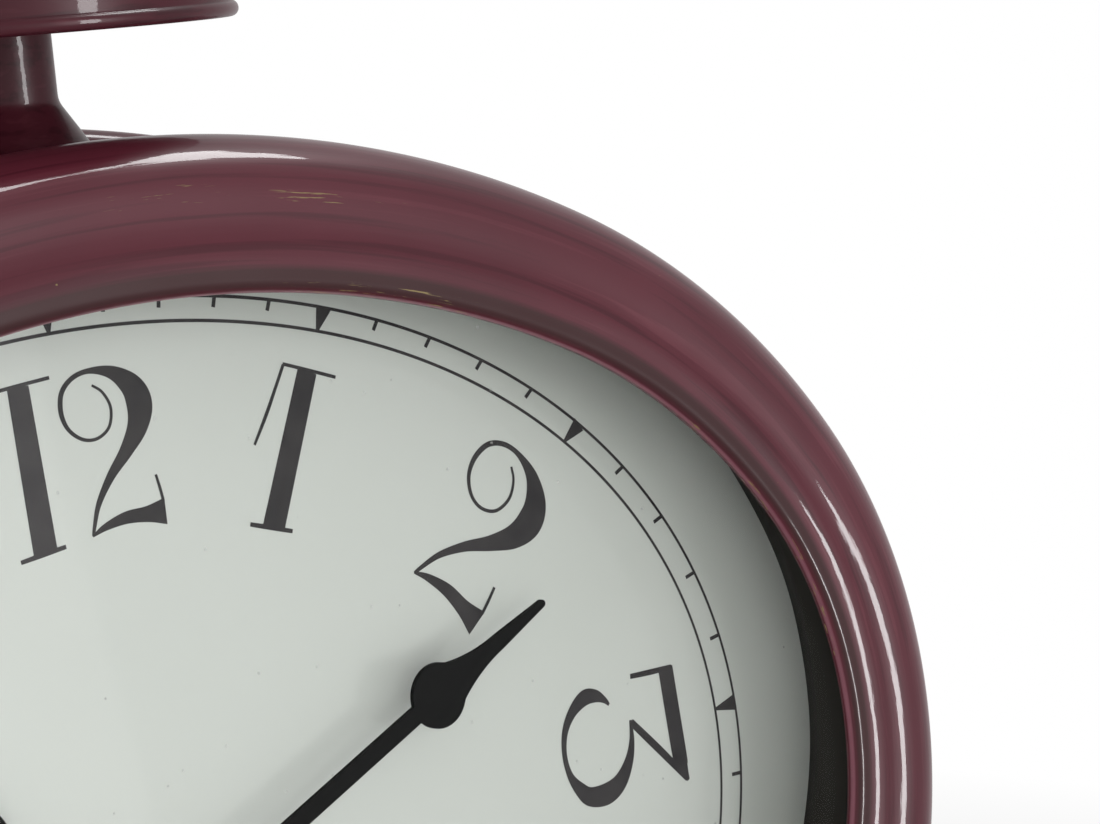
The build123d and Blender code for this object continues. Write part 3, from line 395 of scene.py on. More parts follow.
# Distance from the middle to an oval of half sizes a and b, at a polar angle
def ovalReach(turn, a, b):
    return a * b / np.sqrt((b * np.cos(turn)) ** 2 + (a * np.sin(turn)) ** 2)


# Closed band between an oval and the same oval drawn in by a line's width
def trackLine(share):
    turn = fullTurn(track["count"])
    side = np.array([track["line"] / 2, -track["line"] / 2])
    x = (track["a"] * share + side) * np.cos(turn)[:, None]
    y = (track["b"] * share + side) * np.sin(turn)[:, None]
    return onFace(x, y, track["lift"]).reshape(-1, 3), gridFaces(track["count"], 2, True, False)


# Bars that start on the outer line and run towards the middle, with a width at each end
def trackBars(turns, depthShare, outerWidth, innerWidth):
    outer = ovalReach(turns, track["a"], track["b"])
    inner = outer * (1 - depthShare * (1 - track["innerShare"]))
    reach = np.stack([outer, outer, inner, inner], 1)
    side = np.stack([outerWidth / 2 + 0 * outer, -outerWidth / 2 + 0 * outer,
                     -innerWidth / 2 + 0 * outer, innerWidth / 2 + 0 * outer], 1)
    c, s = np.cos(turns)[:, None], np.sin(turns)[:, None]
    points = onFace(reach * c - side * s, reach * s + side * c, track["lift"] + track["barLift"])
    return points.reshape(-1, 3), np.arange(points.shape[0] * 4).reshape(-1, 4)


# Several sets of points and faces joined into one
def joined(parts):
    start = np.cumsum([0] + [len(points) for points, faces in parts[:-1]])
    return (np.concatenate([points for points, faces in parts]),
            [list(f) for (points, faces), n in zip(parts, start) for f in (np.asarray(faces) + n).tolist()])


minutes = np.radians(90 - 6 * np.arange(60))
plain = minutes[np.arange(60) % 5 != 0]
fives = minutes[np.arange(60) % 5 == 0]
trackPoints, trackFaces = joined([trackLine(1.0), trackLine(track["innerShare"]),
                                  trackBars(plain, track["tickShare"], track["tick"], track["tick"]),
                                  trackBars(fives, 1.0, track["wedge"], track["wedgeTip"])])
putMesh("minuteTrack", trackPoints, trackFaces, "case", closed=False, facing=outward)

# Numerals: strokes of x, y and half width on a height of one
strokes = {
    "1": [[(0.0, 0.005, 0.078), (0.008, 0.5, 0.074), (0.016, 0.97, 0.070)],
          [(-0.165, 0.965, 0.011), (0.02, 0.978, 0.011), (0.225, 0.99, 0.011)],
          [(-0.16, 0.962, 0.011), (-0.180, 0.82, 0.011), (-0.207, 0.64, 0.012), (-0.245, 0.445, 0.009)],
          [(-0.165, -0.016, 0.013), (-0.02, -0.002, 0.015), (0.135, 0.012, 0.013)]],
    "2": [[(-0.061, 0.899, 0.008), (0.0, 0.846, 0.009), (0.036, 0.749, 0.010), (0.004, 0.640, 0.010),
           (-0.085, 0.587, 0.010), (-0.182, 0.599, 0.011), (-0.263, 0.672, 0.013), (-0.291, 0.777, 0.016),
           (-0.263, 0.891, 0.016), (-0.174, 0.964, 0.015), (-0.053, 0.984, 0.018), (0.089, 0.947, 0.042),
           (0.198, 0.850, 0.076), (0.231, 0.737, 0.088), (0.190, 0.607, 0.069), (0.085, 0.478, 0.044),
           (-0.045, 0.352, 0.028), (-0.154, 0.211, 0.018), (-0.211, 0.081, 0.012), (-0.227, 0.032, 0.010)],
          [(-0.232, 0.033, 0.007), (-0.134, 0.069, 0.022), (0.008, 0.093, 0.037), (0.150, 0.085, 0.048),
           (0.279, 0.077, 0.080)],
          [(0.275, 0.138, 0.010), (0.267, 0.219, 0.010), (0.255, 0.304, 0.009)]],
    "3": [[(-0.350, 0.936, 0.062), (-0.05, 0.936, 0.062), (0.25, 0.938, 0.060), (0.32, 0.950, 0.042),
           (0.392, 0.978, 0.012)],
          [(0.378, 0.972, 0.022), (0.142, 0.780, 0.026), (-0.092, 0.582, 0.024)],
          [(-0.340, 0.985, 0.016), (-0.352, 0.81, 0.018), (-0.368, 0.635, 0.016)],
          [(-0.106, 0.579, 0.010), (0.019, 0.564, 0.021), (0.137, 0.513, 0.036), (0.241, 0.417, 0.056),
           (0.282, 0.298, 0.068), (0.263, 0.165, 0.059), (0.196, 0.092, 0.044), (0.093, 0.032, 0.024),
           (-0.040, 0.015, 0.019), (-0.173, 0.047, 0.024), (-0.276, 0.129, 0.035), (-0.335, 0.239, 0.049),
           (-0.325, 0.328, 0.040), (-0.284, 0.394, 0.021), (-0.244, 0.428, 0.010)]],
    "4": [[(0.13, 0.005, 0.080), (0.13, 0.5, 0.078), (0.13, 0.985, 0.074)],
          [(0.115, 0.978, 0.013), (-0.09, 0.64, 0.014), (-0.30, 0.30, 0.014)],
          [(-0.312, 0.295, 0.016), (0.0, 0.295, 0.016), (0.34, 0.295, 0.016)],
          [(0.335, 0.37, 0.012), (0.335, 0.295, 0.013), (0.335, 0.22, 0.012)],
          [(-0.01, 0.0, 0.013), (0.13, 0.0, 0.015), (0.28, 0.0, 0.013)]],
    "5": [[(-0.19, 0.936, 0.060), (0.0, 0.936, 0.062), (0.16, 0.940, 0.055), (0.29, 0.972, 0.012)],
          [(-0.18, 0.985, 0.015), (-0.19, 0.75, 0.016), (-0.205, 0.52, 0.014)],
          [(-0.205, 0.525, 0.010), (-0.08, 0.600, 0.022), (0.07, 0.590, 0.042), (0.20, 0.485, 0.066),
           (0.25, 0.320, 0.074), (0.20, 0.140, 0.054), (0.06, 0.030, 0.024), (-0.09, 0.018, 0.019),
           (-0.22, 0.080, 0.034), (-0.295, 0.190, 0.048), (-0.275, 0.290, 0.032), (-0.22, 0.345, 0.010)]],
    "6": [[(0.20, 0.800, 0.009), (0.185, 0.900, 0.012), (0.09, 0.975, 0.015), (-0.05, 0.935, 0.024),
           (-0.17, 0.780, 0.050), (-0.235, 0.540, 0.080), (-0.225, 0.290, 0.082), (-0.13, 0.085, 0.048),
           (0.01, 0.015, 0.018), (0.15, 0.070, 0.022), (0.245, 0.210, 0.040), (0.25, 0.370, 0.040),
           (0.165, 0.530, 0.022), (0.03, 0.585, 0.013), (-0.11, 0.520, 0.010), (-0.185, 0.400, 0.009)]],
    "7": [[(-0.27, 0.936, 0.062), (-0.05, 0.936, 0.062), (0.12, 0.940, 0.055), (0.27, 0.974, 0.012)],
          [(-0.26, 0.985, 0.016), (-0.272, 0.84, 0.017), (-0.285, 0.70, 0.014)],
          [(0.268, 0.972, 0.012), (0.17, 0.760, 0.024), (0.06, 0.500, 0.048), (-0.01, 0.230, 0.074),
           (-0.03, 0.005, 0.080)]],
    "8": [[(0.01, 0.535, 0.058), (-0.13, 0.655, 0.062), (-0.175, 0.800, 0.044), (-0.10, 0.940, 0.022),
           (0.03, 0.985, 0.014), (0.155, 0.920, 0.013), (0.195, 0.790, 0.013), (0.125, 0.645, 0.013),
           (-0.01, 0.550, 0.014), (-0.16, 0.430, 0.015), (-0.25, 0.270, 0.016), (-0.20, 0.095, 0.018),
           (-0.01, 0.015, 0.020), (0.175, 0.085, 0.044), (0.235, 0.240, 0.066), (0.15, 0.410, 0.072),
           (0.01, 0.535, 0.058)]],
    "0": [[(0.0, 0.985, 0.014), (0.165, 0.900, 0.046), (0.245, 0.710, 0.080), (0.26, 0.500, 0.088),
           (0.245, 0.290, 0.080), (0.165, 0.100, 0.046), (0.0, 0.015, 0.014), (-0.165, 0.100, 0.046),
           (-0.245, 0.290, 0.080), (-0.26, 0.500, 0.088), (-0.245, 0.710, 0.080), (-0.165, 0.900, 0.046),
           (0.0, 0.985, 0.014)]],
}
strokes["9"] = [[(-x, 1 - y, w) for x, y, w in run] for run in strokes["6"]]


# Smooth run through control points: cubic blend of four neighbours, twelve steps to a span
def smoothRun(points):
    points = np.array(points, float)
    if np.allclose(points[0], points[-1]):
        padded = np.concatenate([points[-2:-1], points, points[1:2]])
    else:
        padded = np.concatenate([2 * points[:1] - points[1:2], points, 2 * points[-1:] - points[-2:-1]])
    p0, p1, p2, p3 = padded[:-3, None], padded[1:-2, None], padded[2:-1, None], padded[3:, None]
    t = np.linspace(0, 1, 13)[None, :, None]
    run = 0.5 * (2 * p1 + (p2 - p0) * t + (2 * p0 - 5 * p1 + 4 * p2 - p3) * t**2
                 + (3 * p1 - p0 - 3 * p2 + p3) * t**3)
    return np.concatenate([run[:, :-1].reshape(-1, 3), points[-1:]])


# Strip along a run: each point stepped to both sides of the path by its half width
def strokeStrip(run, place, turn, height, lift):
    run = smoothRun(run)
    ahead = np.gradient(run[:, :2], axis=0)
    ahead /= np.maximum(np.linalg.norm(ahead, axis=1), 1e-9)[:, None]
    side = np.stack([-ahead[:, 1], ahead[:, 0]], 1) * run[:, 2:3]
    flat = np.stack([run[:, :2] + side, run[:, :2] - side], 1)
    flat = (flat - [0.0, 0.5]) * height
    c, s = math.cos(turn), math.sin(turn)
    x = place[0] + flat[..., 0] * c + flat[..., 1] * s
    y = place[1] - flat[..., 0] * s + flat[..., 1] * c
    return onFace(x, y, lift).reshape(-1, 3), gridFaces(len(run), 2, False, False)


# Place, turn and height of each figure in the first quarter, mm and degrees clockwise, and its mirror places
numeral = dict(first=(35.1, 59.3, 25.3, 24.3), second=(67.6, 39.8, 50.5, 28.3), third=(88.9, 0.5, 90.0, 26.2),
               top=(0.0, 64.3, 0.0, 23.3), spread=12.8, strokeLift=0.006)
hours = {12: ("top", 1, 1), 1: ("first", 1, 1), 2: ("second", 1, 1), 3: ("third", 1, 1), 4: ("second", 1, -1),
         5: ("first", 1, -1), 6: ("top", 1, -1), 7: ("first", -1, -1), 8: ("second", -1, -1), 9: ("third", -1, 1),
         10: ("second", -1, 1), 11: ("first", -1, 1)}
strips = []
for hour, (spot, sideX, sideY) in hours.items():
    x, y, turn, height = numeral[spot]
    turn = math.radians(turn if sideY > 0 else 180 - turn) * sideX
    text = str(hour)
    for k, figure in enumerate(text):
        shift = (k - (len(text) - 1) / 2) * numeral["spread"] * height / numeral["top"][3]
        place = (sideX * x + shift * math.cos(turn), sideY * y - shift * math.sin(turn))
        for n, run in enumerate(strokes[figure]):
            strips.append(strokeStrip(run, place, turn, height, track["lift"] + numeral["strokeLift"] * n))
numeralPoints, numeralFaces = joined(strips)
putMesh("dialNumerals", numeralPoints, numeralFaces, "case", closed=False, facing=outward)
print("clock: dial printed")

# Camera at the photograph's view, worked out from the dial's oval; right, down and ahead are in the face's axes
viewFrom = dict(place=(-0.15683, -0.27093, 0.24790), sensor=36.0, focal=2365, imageWidth=1100,
                right=(0.74315, -0.16287, 0.64900), down=(-0.18038, -0.98278, -0.04009),
                ahead=(0.64436, -0.08727, -0.75973), near=0.01, far=50.0)
faceAxes = np.array([rightFace, upFace, outward]).T
viewAxes = faceAxes @ np.array([viewFrom["right"], viewFrom["down"], viewFrom["ahead"]]).T
turnCamera = viewAxes * [1.0, -1.0, -1.0]
cameraData = bpy.data.cameras.new("studioCamera")
cameraData.sensor_width = viewFrom["sensor"]
cameraData.sensor_fit = "HORIZONTAL"
cameraData.lens = viewFrom["sensor"] * viewFrom["focal"] / viewFrom["imageWidth"]
cameraData.clip_start, cameraData.clip_end = viewFrom["near"], viewFrom["far"]
camera = bpy.data.objects.new("studioCamera", cameraData)
bpy.context.scene.collection.objects.link(camera)
camera.matrix_world = Matrix.Translation(Vector(viewFrom["place"])) @ Matrix(turnCamera.tolist()).to_4x4()
bpy.context.scene.camera = camera


# Material with one principled shader; plain values go on its own sockets
def newMaterial(name, colour, rough, **sockets):
    material = bpy.data.materials.new(name)
    material.use_nodes = True
    shader = material.node_tree.nodes["Principled BSDF"]
    shader.inputs["Base Color"].default_value = (*colour, 1.0)
    shader.inputs["Roughness"].default_value = rough
    for key, value in sockets.items():
        shader.inputs[key.replace("_", " ")].default_value = value
    return material, material.node_tree, shader


# Node of a kind with its settings; an input that is a socket is linked, and a plain one is set
def addNode(tree, kind, inputs=(), **settings):
    node = tree.nodes.new(kind)
    for key, value in settings.items():
        setattr(node, key, value)
    for key, value in dict(inputs).items():
        if isinstance(value, bpy.types.NodeSocket):
            tree.links.new(value, node.inputs[key])
        else:
            node.inputs[key].default_value = value
    return node


# Ramp of positions and colours fed by a value
def addRamp(tree, value, stops):
    ramp = addNode(tree, "ShaderNodeValToRGB", {"Fac": value})
    while len(ramp.color_ramp.elements) < len(stops):
        ramp.color_ramp.elements.new(0.5)
    for element, (place, colour) in zip(ramp.color_ramp.elements, stops):
        element.position = place
        element.color = (*colour, 1.0)
    return ramp.outputs["Color"]


# One material on every named piece
def dress(names, material):
    for name in names:
        piece = bpy.data.objects.get(name)
        piece.data.materials.clear()
        piece.data.materials.append(material)


# Noise on the piece's own metres, stretched by a scale along each axis
def noiseOf(tree, scale, detail=3.0, stretch=(1.0, 1.0, 1.0), coordinates=None):
    place = coordinates or addNode(tree, "ShaderNodeTexCoord").outputs["Object"]
    place = addNode(tree, "ShaderNodeMapping", {"Vector": place, "Scale": stretch}).outputs["Vector"]
    return addNode(tree, "ShaderNodeTexNoise", {"Vector": place, "Scale": scale, "Detail": detail}).outputs["Fac"]


# Tone, gloss and relief of a surface, each from its own noise
def texture(tree, shader, tones, scale, roughs, relief, reliefScale, stretch=(1.0, 1.0, 1.0), tall=0.0004):
    cloud = noiseOf(tree, scale, 4.0, stretch)
    tree.links.new(addRamp(tree, cloud, [(0.3, tones[0]), (0.7, tones[1])]), shader.inputs["Base Color"])
    gloss = addNode(tree, "ShaderNodeMapRange", {"Value": cloud, "From Min": 0.3, "From Max": 0.7,
                                                 "To Min": roughs[0], "To Max": roughs[1]})
    tree.links.new(gloss.outputs["Result"], shader.inputs["Roughness"])
    grain = noiseOf(tree, reliefScale, 2.0, stretch)
    bump = addNode(tree, "ShaderNodeBump", {"Height": grain, "Strength": relief, "Distance": tall})
    tree.links.new(bump.outputs["Normal"], shader.inputs["Normal"])


# Values joined from left to right by one operation
def chained(tree, operation, *values):
    total = values[0]
    for value in values[1:]:
        total = addNode(tree, "ShaderNodeMath", {0: total, 1: value}, operation=operation).outputs[0]
    return total


# Value that is one between two limits and falls off over a soft edge
def between(tree, value, low, high, soft):
    rise = addNode(tree, "ShaderNodeMapRange", {"Value": value, "From Min": low - soft, "From Max": low})
    fall = addNode(tree, "ShaderNodeMapRange", {"Value": value, "From Min": high, "From Max": high + soft,
                                                "To Min": 1.0, "To Max": 0.0})
    return chained(tree, "MULTIPLY", rise.outputs["Result"], fall.outputs["Result"])


# Enamel: deep red with cloudy tone, brushed unevenness under a gloss coat, and gold where it has worn through
enamel = dict(colour=(0.118, 0.0195, 0.033), deep=(0.080, 0.0125, 0.022), thin=(0.150, 0.030, 0.046),
              gold=(0.30, 0.22, 0.09), rough=0.38, specular=0.1, coat=0.3, coatRough=0.045, coatIor=1.5,
              wave=0.13, waveScale=30.0, waveTall=0.004, streak=0.022, streakTall=0.002,
              wearSoftTurn=0.004, wearSoftWay=0.35)


# Wear places are shares of the turn and mm along the profile; bands of painted shade and painted highlight are mm
# along it with a soft edge and a colour
def enamelCoat(name, wearPlaces=(), paintedLightBands=(), depth=1.0, coat=enamel["coat"]):
    # A depth below one darkens every tone, giving a painted-shade copy of the enamel
    deep, plain, thin = (tuple(depth * v for v in enamel[key]) for key in ("deep", "colour", "thin"))
    material, tree, shader = newMaterial(name, plain, enamel["rough"], Coat_Weight=coat,
                                         Coat_Roughness=enamel["coatRough"], Coat_IOR=enamel["coatIor"],
                                         Specular_IOR_Level=enamel["specular"])
    run = addNode(tree, "ShaderNodeUVMap", uv_map="run").outputs["UV"]
    runParts = addNode(tree, "ShaderNodeSeparateXYZ", {"Vector": run})
    turn, way = runParts.outputs["X"], runParts.outputs["Y"]
    # The turn is laid on a circle, so that the brush lines close without a seam
    angle = chained(tree, "MULTIPLY", turn, 2 * math.pi)
    ring = addNode(tree, "ShaderNodeCombineXYZ", {
        "X": addNode(tree, "ShaderNodeMath", {0: angle}, operation="COSINE").outputs[0],
        "Y": addNode(tree, "ShaderNodeMath", {0: angle}, operation="SINE").outputs[0],
        "Z": way}).outputs["Vector"]
    streaks = noiseOf(tree, 1.0, 3.0, (4.0, 4.0, 0.75), ring)
    brushed = noiseOf(tree, 1.0, 3.0, (2.2, 2.2, 0.62), ring)
    tone = addRamp(tree, brushed, [(0.36, deep), (0.45, plain), (0.57, plain), (0.66, thin)])
    cloud = addRamp(tree, noiseOf(tree, 30.0), [(0.42, (0, 0, 0)), (0.72, (0.6, 0.6, 0.6))])
    swell = noiseOf(tree, enamel["waveScale"], 1.5)
    wave = addNode(tree, "ShaderNodeBump", {"Height": swell, "Strength": enamel["wave"],
                                            "Distance": enamel["waveTall"]})
    lines = addNode(tree, "ShaderNodeBump", {"Height": streaks, "Strength": enamel["streak"],
                                             "Distance": enamel["streakTall"], "Normal": wave.outputs["Normal"]})
    for socket in ("Normal", "Coat Normal"):
        tree.links.new(lines.outputs["Normal"], shader.inputs[socket])
    scuff = noiseOf(tree, 1.0, 4.0, (26.0, 26.0, 3.0), ring)
    scuff = addRamp(tree, scuff, [(0.61, (0, 0, 0)), (0.68, (1, 1, 1))])
    worn = addRamp(tree, noiseOf(tree, 900.0, 2.0), [(0.79, (0, 0, 0)), (0.84, (1, 1, 1))])
    for lowU, highU, lowV, highV in wearPlaces:
        place = chained(tree, "MULTIPLY", between(tree, turn, lowU, highU, enamel["wearSoftTurn"]),
                        between(tree, way, lowV, highV, enamel["wearSoftWay"]), scuff)
        worn = chained(tree, "MAXIMUM", worn, place)
    # Bands of painted shade and painted highlight along the profile, laid over the tone
    paintedLightLayers = [(between(tree, way, *band), colour) for *band, colour in paintedLightBands]
    for share, colour in [(cloud, deep)] + paintedLightLayers + [(worn, enamel["gold"])]:
        layer = addNode(tree, "ShaderNodeMix", {"Factor": share}, data_type="RGBA")
        tree.links.new(tone, layer.inputs["A"])
        layer.inputs["B"].default_value = (*colour, 1.0)
        tone = layer.outputs["Result"]
    tree.links.new(tone, shader.inputs["Base Color"])
    return material


ringLook = dict(wearPlaces=[(0.239, 0.250, 14.2, 16.6), (0.212, 0.226, 14.0, 15.4), (0.196, 0.224, 1.2, 3.4),
                            (0.02, 0.13, 0.4, 1.4), (0.70, 0.76, 13.5, 15.6), (0.44, 0.47, 15.0, 16.4)],
                paintedLightBands=[(2.4, 4.6, 0.9, (0.046, 0.010, 0.012)),  # painted shade: dark band in the cove
                       (0.9, 1.35, 0.35, (0.26, 0.095, 0.125))])  # painted highlight: pale line on the lip
shadedStandLook = dict(depth=0.62, coat=0.14)  # painted shade: a darker copy of the enamel for the post and platform, with a duller coat than the ring
dress(["bezelRing"], enamelCoat("ringEnamel", **ringLook))
dress(["caseWall", "rearHoop", "basePlinth"], enamelCoat("plainEnamel"))
dress(["platformPost", "topPlate"], enamelCoat("shadedStandEnamel", **shadedStandLook))
print("clock: enamel made")


# Finish of a few pieces: plain values on the shader, and tone, gloss and relief from noise
def layFinish(pieces, name, colour, rough, sockets, look):
    material, tree, shader = newMaterial(name, colour, rough, **sockets)
    texture(tree, shader, **look)
    dress(pieces, material)
    return tree, shader


# Dial ground: pale printed card under varnish, faintly green in clouds
layFinish(["dial"], "dialGround", (0.66, 0.69, 0.65), 0.5, dict(Coat_Weight=0.3, Coat_Roughness=0.06),
          dict(tones=((0.645, 0.672, 0.632), (0.680, 0.706, 0.668)), scale=22.0, roughs=(0.46, 0.56),
               relief=0.02, reliefScale=900.0))
# Printed ink, thin in places
layFinish(["minuteTrack", "dialNumerals"], "dialInk", (0.03, 0.028, 0.03), 0.5, dict(Specular_IOR_Level=0.08),
          dict(tones=((0.030, 0.027, 0.030), (0.064, 0.058, 0.060)), scale=160.0, roughs=(0.42, 0.60),
               relief=0.02, reliefScale=900.0))
# Stoved black paint with a faint orange peel
layFinish(["hour_hand", "minute_hand", "hand_nut"], "handBlack", (0.010, 0.010, 0.010), 0.5,
          dict(Specular_IOR_Level=0.03),
          dict(tones=((0.004, 0.004, 0.004), (0.008, 0.008, 0.008)), scale=240.0, roughs=(0.48, 0.62),
               relief=0.05, reliefScale=1400.0))
layFinish(["back_cover", "base_plate"], "blackPaint", (0.014, 0.014, 0.014), 0.4, {},
          dict(tones=((0.009, 0.009, 0.009), (0.020, 0.020, 0.019)), scale=90.0, roughs=(0.30, 0.46),
               relief=0.10, reliefScale=700.0))
layFinish(["glass_seal", "foot_pads", "rubber_washer"], "blackRubber", (0.02, 0.02, 0.02), 0.7, {},
          dict(tones=((0.014, 0.014, 0.014), (0.034, 0.033, 0.032)), scale=260.0, roughs=(0.62, 0.82),
               relief=0.25, reliefScale=1600.0))
# Moulded plastic with a spark-eroded grain
layFinish(["movement_housing", "movement_cover", "setting_knob"], "blackPlastic", (0.025, 0.025, 0.027), 0.5, {},
          dict(tones=((0.018, 0.018, 0.020), (0.034, 0.034, 0.036)), scale=120.0, roughs=(0.42, 0.58),
               relief=0.22, reliefScale=2200.0))
layFinish(["motion_wheel", "hour_wheel"], "whitePlastic", (0.75, 0.75, 0.72), 0.45, {},
          dict(tones=((0.70, 0.70, 0.66), (0.80, 0.80, 0.77)), scale=300.0, roughs=(0.38, 0.52),
               relief=0.06, reliefScale=1800.0))
# Plated steel drawn along its length, and brass turned with fine lines
layFinish(["cover_screws", "post_screw", "base_screws", "platform_screw", "post_saddle", "base_saddle",
           "cell_contacts", "stator"], "platedSteel", (0.55, 0.55, 0.55), 0.3, dict(Metallic=1.0),
          dict(tones=((0.42, 0.42, 0.43), (0.64, 0.64, 0.63)), scale=160.0, roughs=(0.20, 0.40),
               relief=0.10, reliefScale=600.0, stretch=(0.15, 3.0, 3.0)))
layFinish(["nut_washer", "bush_nut", "centre_wheel"], "turnedBrass", (0.60, 0.43, 0.17), 0.3, dict(Metallic=1.0),
          dict(tones=((0.50, 0.34, 0.12), (0.68, 0.50, 0.21)), scale=260.0, roughs=(0.20, 0.38),
               relief=0.08, reliefScale=900.0, stretch=(1.0, 6.0, 1.0)))
# Wall behind the glass: satin black, with painted light a shade lighter and browner in its half next to the dial,
# and painted shade near black in its half under the bezel
wallTree, wallShader = layFinish(
    ["spacerWall"], "wallBlack", (0.010, 0.009, 0.008), 0.3, dict(Specular_IOR_Level=0.25),
    dict(tones=((0.008, 0.008, 0.007), (0.012, 0.012, 0.011)), scale=400.0, roughs=(0.30, 0.36),
         relief=0.01, reliefScale=300.0))
wallPlace = addNode(wallTree, "ShaderNodeTexCoord").outputs["Object"]
wallOut = addNode(wallTree, "ShaderNodeVectorMath", {0: wallPlace, 1: tuple(outward)}, operation="DOT_PRODUCT")
dialOut = float(faceCentre @ outward) * mm
# Painted light and shade by height above the dial: lighter and browner low down, near black higher up
wallPaintedLightRise = addNode(wallTree, "ShaderNodeMapRange", {"Value": wallOut.outputs["Value"], "From Min": dialOut,
                                                    "From Max": dialOut + spacer["top"] * mm})
wallPaintedLight = addRamp(wallTree, wallPaintedLightRise.outputs["Result"],
                   [(0.0, (0.026, 0.023, 0.019)), (0.46, (0.021, 0.018, 0.015)),
                    (0.50, (0.004, 0.004, 0.004)), (1.0, (0.003, 0.003, 0.003))])
wallTree.links.new(wallPaintedLight, wallShader.inputs["Base Color"])

# Cell wrap: dark sleeve with a copper band at one end and a fine printed line
wrap, wrapTree, wrapShader = newMaterial("cellWrap", (0.05, 0.06, 0.07), 0.3)
wrapHalf = 0.026  # half the sleeve's length, m
wrapPlace = addNode(wrapTree, "ShaderNodeTexCoord").outputs["Object"]
wrapX = addNode(wrapTree, "ShaderNodeSeparateXYZ", {"Vector": wrapPlace}).outputs["X"]
wrapAlong = addNode(wrapTree, "ShaderNodeMapRange", {"Value": wrapX, "From Min": -wrapHalf, "From Max": wrapHalf})
wrapTone = addRamp(wrapTree, wrapAlong.outputs["Result"],
                   [(0.04, (0.50, 0.50, 0.48)), (0.05, (0.030, 0.032, 0.036)), (0.62, (0.036, 0.038, 0.042)),
                    (0.63, (0.45, 0.45, 0.43)), (0.645, (0.42, 0.20, 0.07)), (0.95, (0.50, 0.26, 0.10)),
                    (0.96, (0.55, 0.55, 0.53))])
wrapScratch = addNode(wrapTree, "ShaderNodeMapRange", {"Value": noiseOf(wrapTree, 300.0), "To Min": 0.22,
                                                       "To Max": 0.42})
wrapTree.links.new(wrapTone, wrapShader.inputs["Base Color"])
wrapTree.links.new(wrapScratch.outputs["Result"], wrapShader.inputs["Roughness"])
dress(["cell"], wrap)

# Board: green lacquer with lighter tracks in a brick layout
board, boardTree, boardShader = newMaterial("boardGreen", (0.02, 0.12, 0.06), 0.4)
boardPlace = addNode(boardTree, "ShaderNodeTexCoord").outputs["Object"]
boardTurn = stance["lean"] - math.pi / 2  # lays the pattern flat on the leaning board
boardFlat = addNode(boardTree, "ShaderNodeMapping", {"Vector": boardPlace, "Rotation": (boardTurn, 0, 0)})
tracks = addNode(boardTree, "ShaderNodeTexBrick", {"Vector": boardFlat.outputs["Vector"], "Scale": 160.0,
                                                   "Mortar Size": 0.05, "Color1": (0.012, 0.085, 0.040, 1),
                                                   "Color2": (0.016, 0.105, 0.050, 1),
                                                   "Mortar": (0.06, 0.22, 0.10, 1)})
boardTree.links.new(tracks.outputs["Color"], boardShader.inputs["Base Color"])
dress(["circuit_board"], board)

# Coil: fine copper wire laid in turns along its length
copper, copperTree, copperShader = newMaterial("coilCopper", (0.55, 0.22, 0.10), 0.35, Metallic=1.0)
wirePlace = addNode(copperTree, "ShaderNodeTexCoord").outputs["Object"]
wires = addNode(copperTree, "ShaderNodeTexWave", {"Vector": wirePlace, "Scale": 900.0, "Distortion": 0.4},
                bands_direction="X").outputs["Fac"]
wireTone = addRamp(copperTree, wires, [(0.1, (0.30, 0.10, 0.04)), (0.7, (0.60, 0.26, 0.12))])
wireRelief = addNode(copperTree, "ShaderNodeBump", {"Height": wires, "Strength": 0.5, "Distance": 0.0002})
copperTree.links.new(wireTone, copperShader.inputs["Base Color"])
copperTree.links.new(wireRelief.outputs["Normal"], copperShader.inputs["Normal"])
dress(["motor_coil"], copper)

# Glass: thin clear pane with a faint mirror at its faces and a few specks of dust. It bends what is looked at
# through it, and other light passes straight
clear = dict(tint=(0.985, 0.992, 0.985, 1), bend=1.5, mirror=1.09, mirrorRough=0.02, speckScale=150.0,
             speckShare=(0.35, 0.35, 0.35), dust=(0.6, 0.6, 0.58, 1))
pane = bpy.data.materials.new("clearPane")
pane.use_nodes = True
paneTree = pane.node_tree
paneTree.nodes.remove(paneTree.nodes["Principled BSDF"])
panePath = addNode(paneTree, "ShaderNodeLightPath")
bent = addNode(paneTree, "ShaderNodeBsdfRefraction", {"Color": clear["tint"], "Roughness": 0.0,
                                                      "IOR": clear["bend"]})
straight = addNode(paneTree, "ShaderNodeBsdfTransparent", {"Color": clear["tint"]})
shine = addNode(paneTree, "ShaderNodeBsdfGlossy", {"Color": (1, 1, 1, 1), "Roughness": clear["mirrorRough"]})
mirror = addNode(paneTree, "ShaderNodeFresnel", {"IOR": clear["mirror"]})
faced = addNode(paneTree, "ShaderNodeMixShader", {0: mirror.outputs["Fac"], 1: bent.outputs["BSDF"],
                                                  2: shine.outputs["BSDF"]})
panePlace = addNode(paneTree, "ShaderNodeTexCoord").outputs["Object"]
specks = addNode(paneTree, "ShaderNodeTexVoronoi", {"Vector": panePlace, "Scale": clear["speckScale"]})
speck = addRamp(paneTree, specks.outputs["Distance"], [(0.030, clear["speckShare"]), (0.045, (0.0, 0.0, 0.0))])
dust = addNode(paneTree, "ShaderNodeBsdfDiffuse", {"Color": clear["dust"]})
dusted = addNode(paneTree, "ShaderNodeMixShader", {0: speck, 1: faced.outputs["Shader"], 2: dust.outputs["BSDF"]})
lookedThrough = chained(paneTree, "MAXIMUM", panePath.outputs["Is Camera Ray"],
                        panePath.outputs["Is Transmission Ray"])
mixed = addNode(paneTree, "ShaderNodeMixShader", {0: lookedThrough, 1: straight.outputs["BSDF"],
                                                  2: dusted.outputs["Shader"]})
paneTree.links.new(mixed.outputs["Shader"], paneTree.nodes["Material Output"].inputs["Surface"])
dress(["front_glass"], pane)
print("clock: materials made")

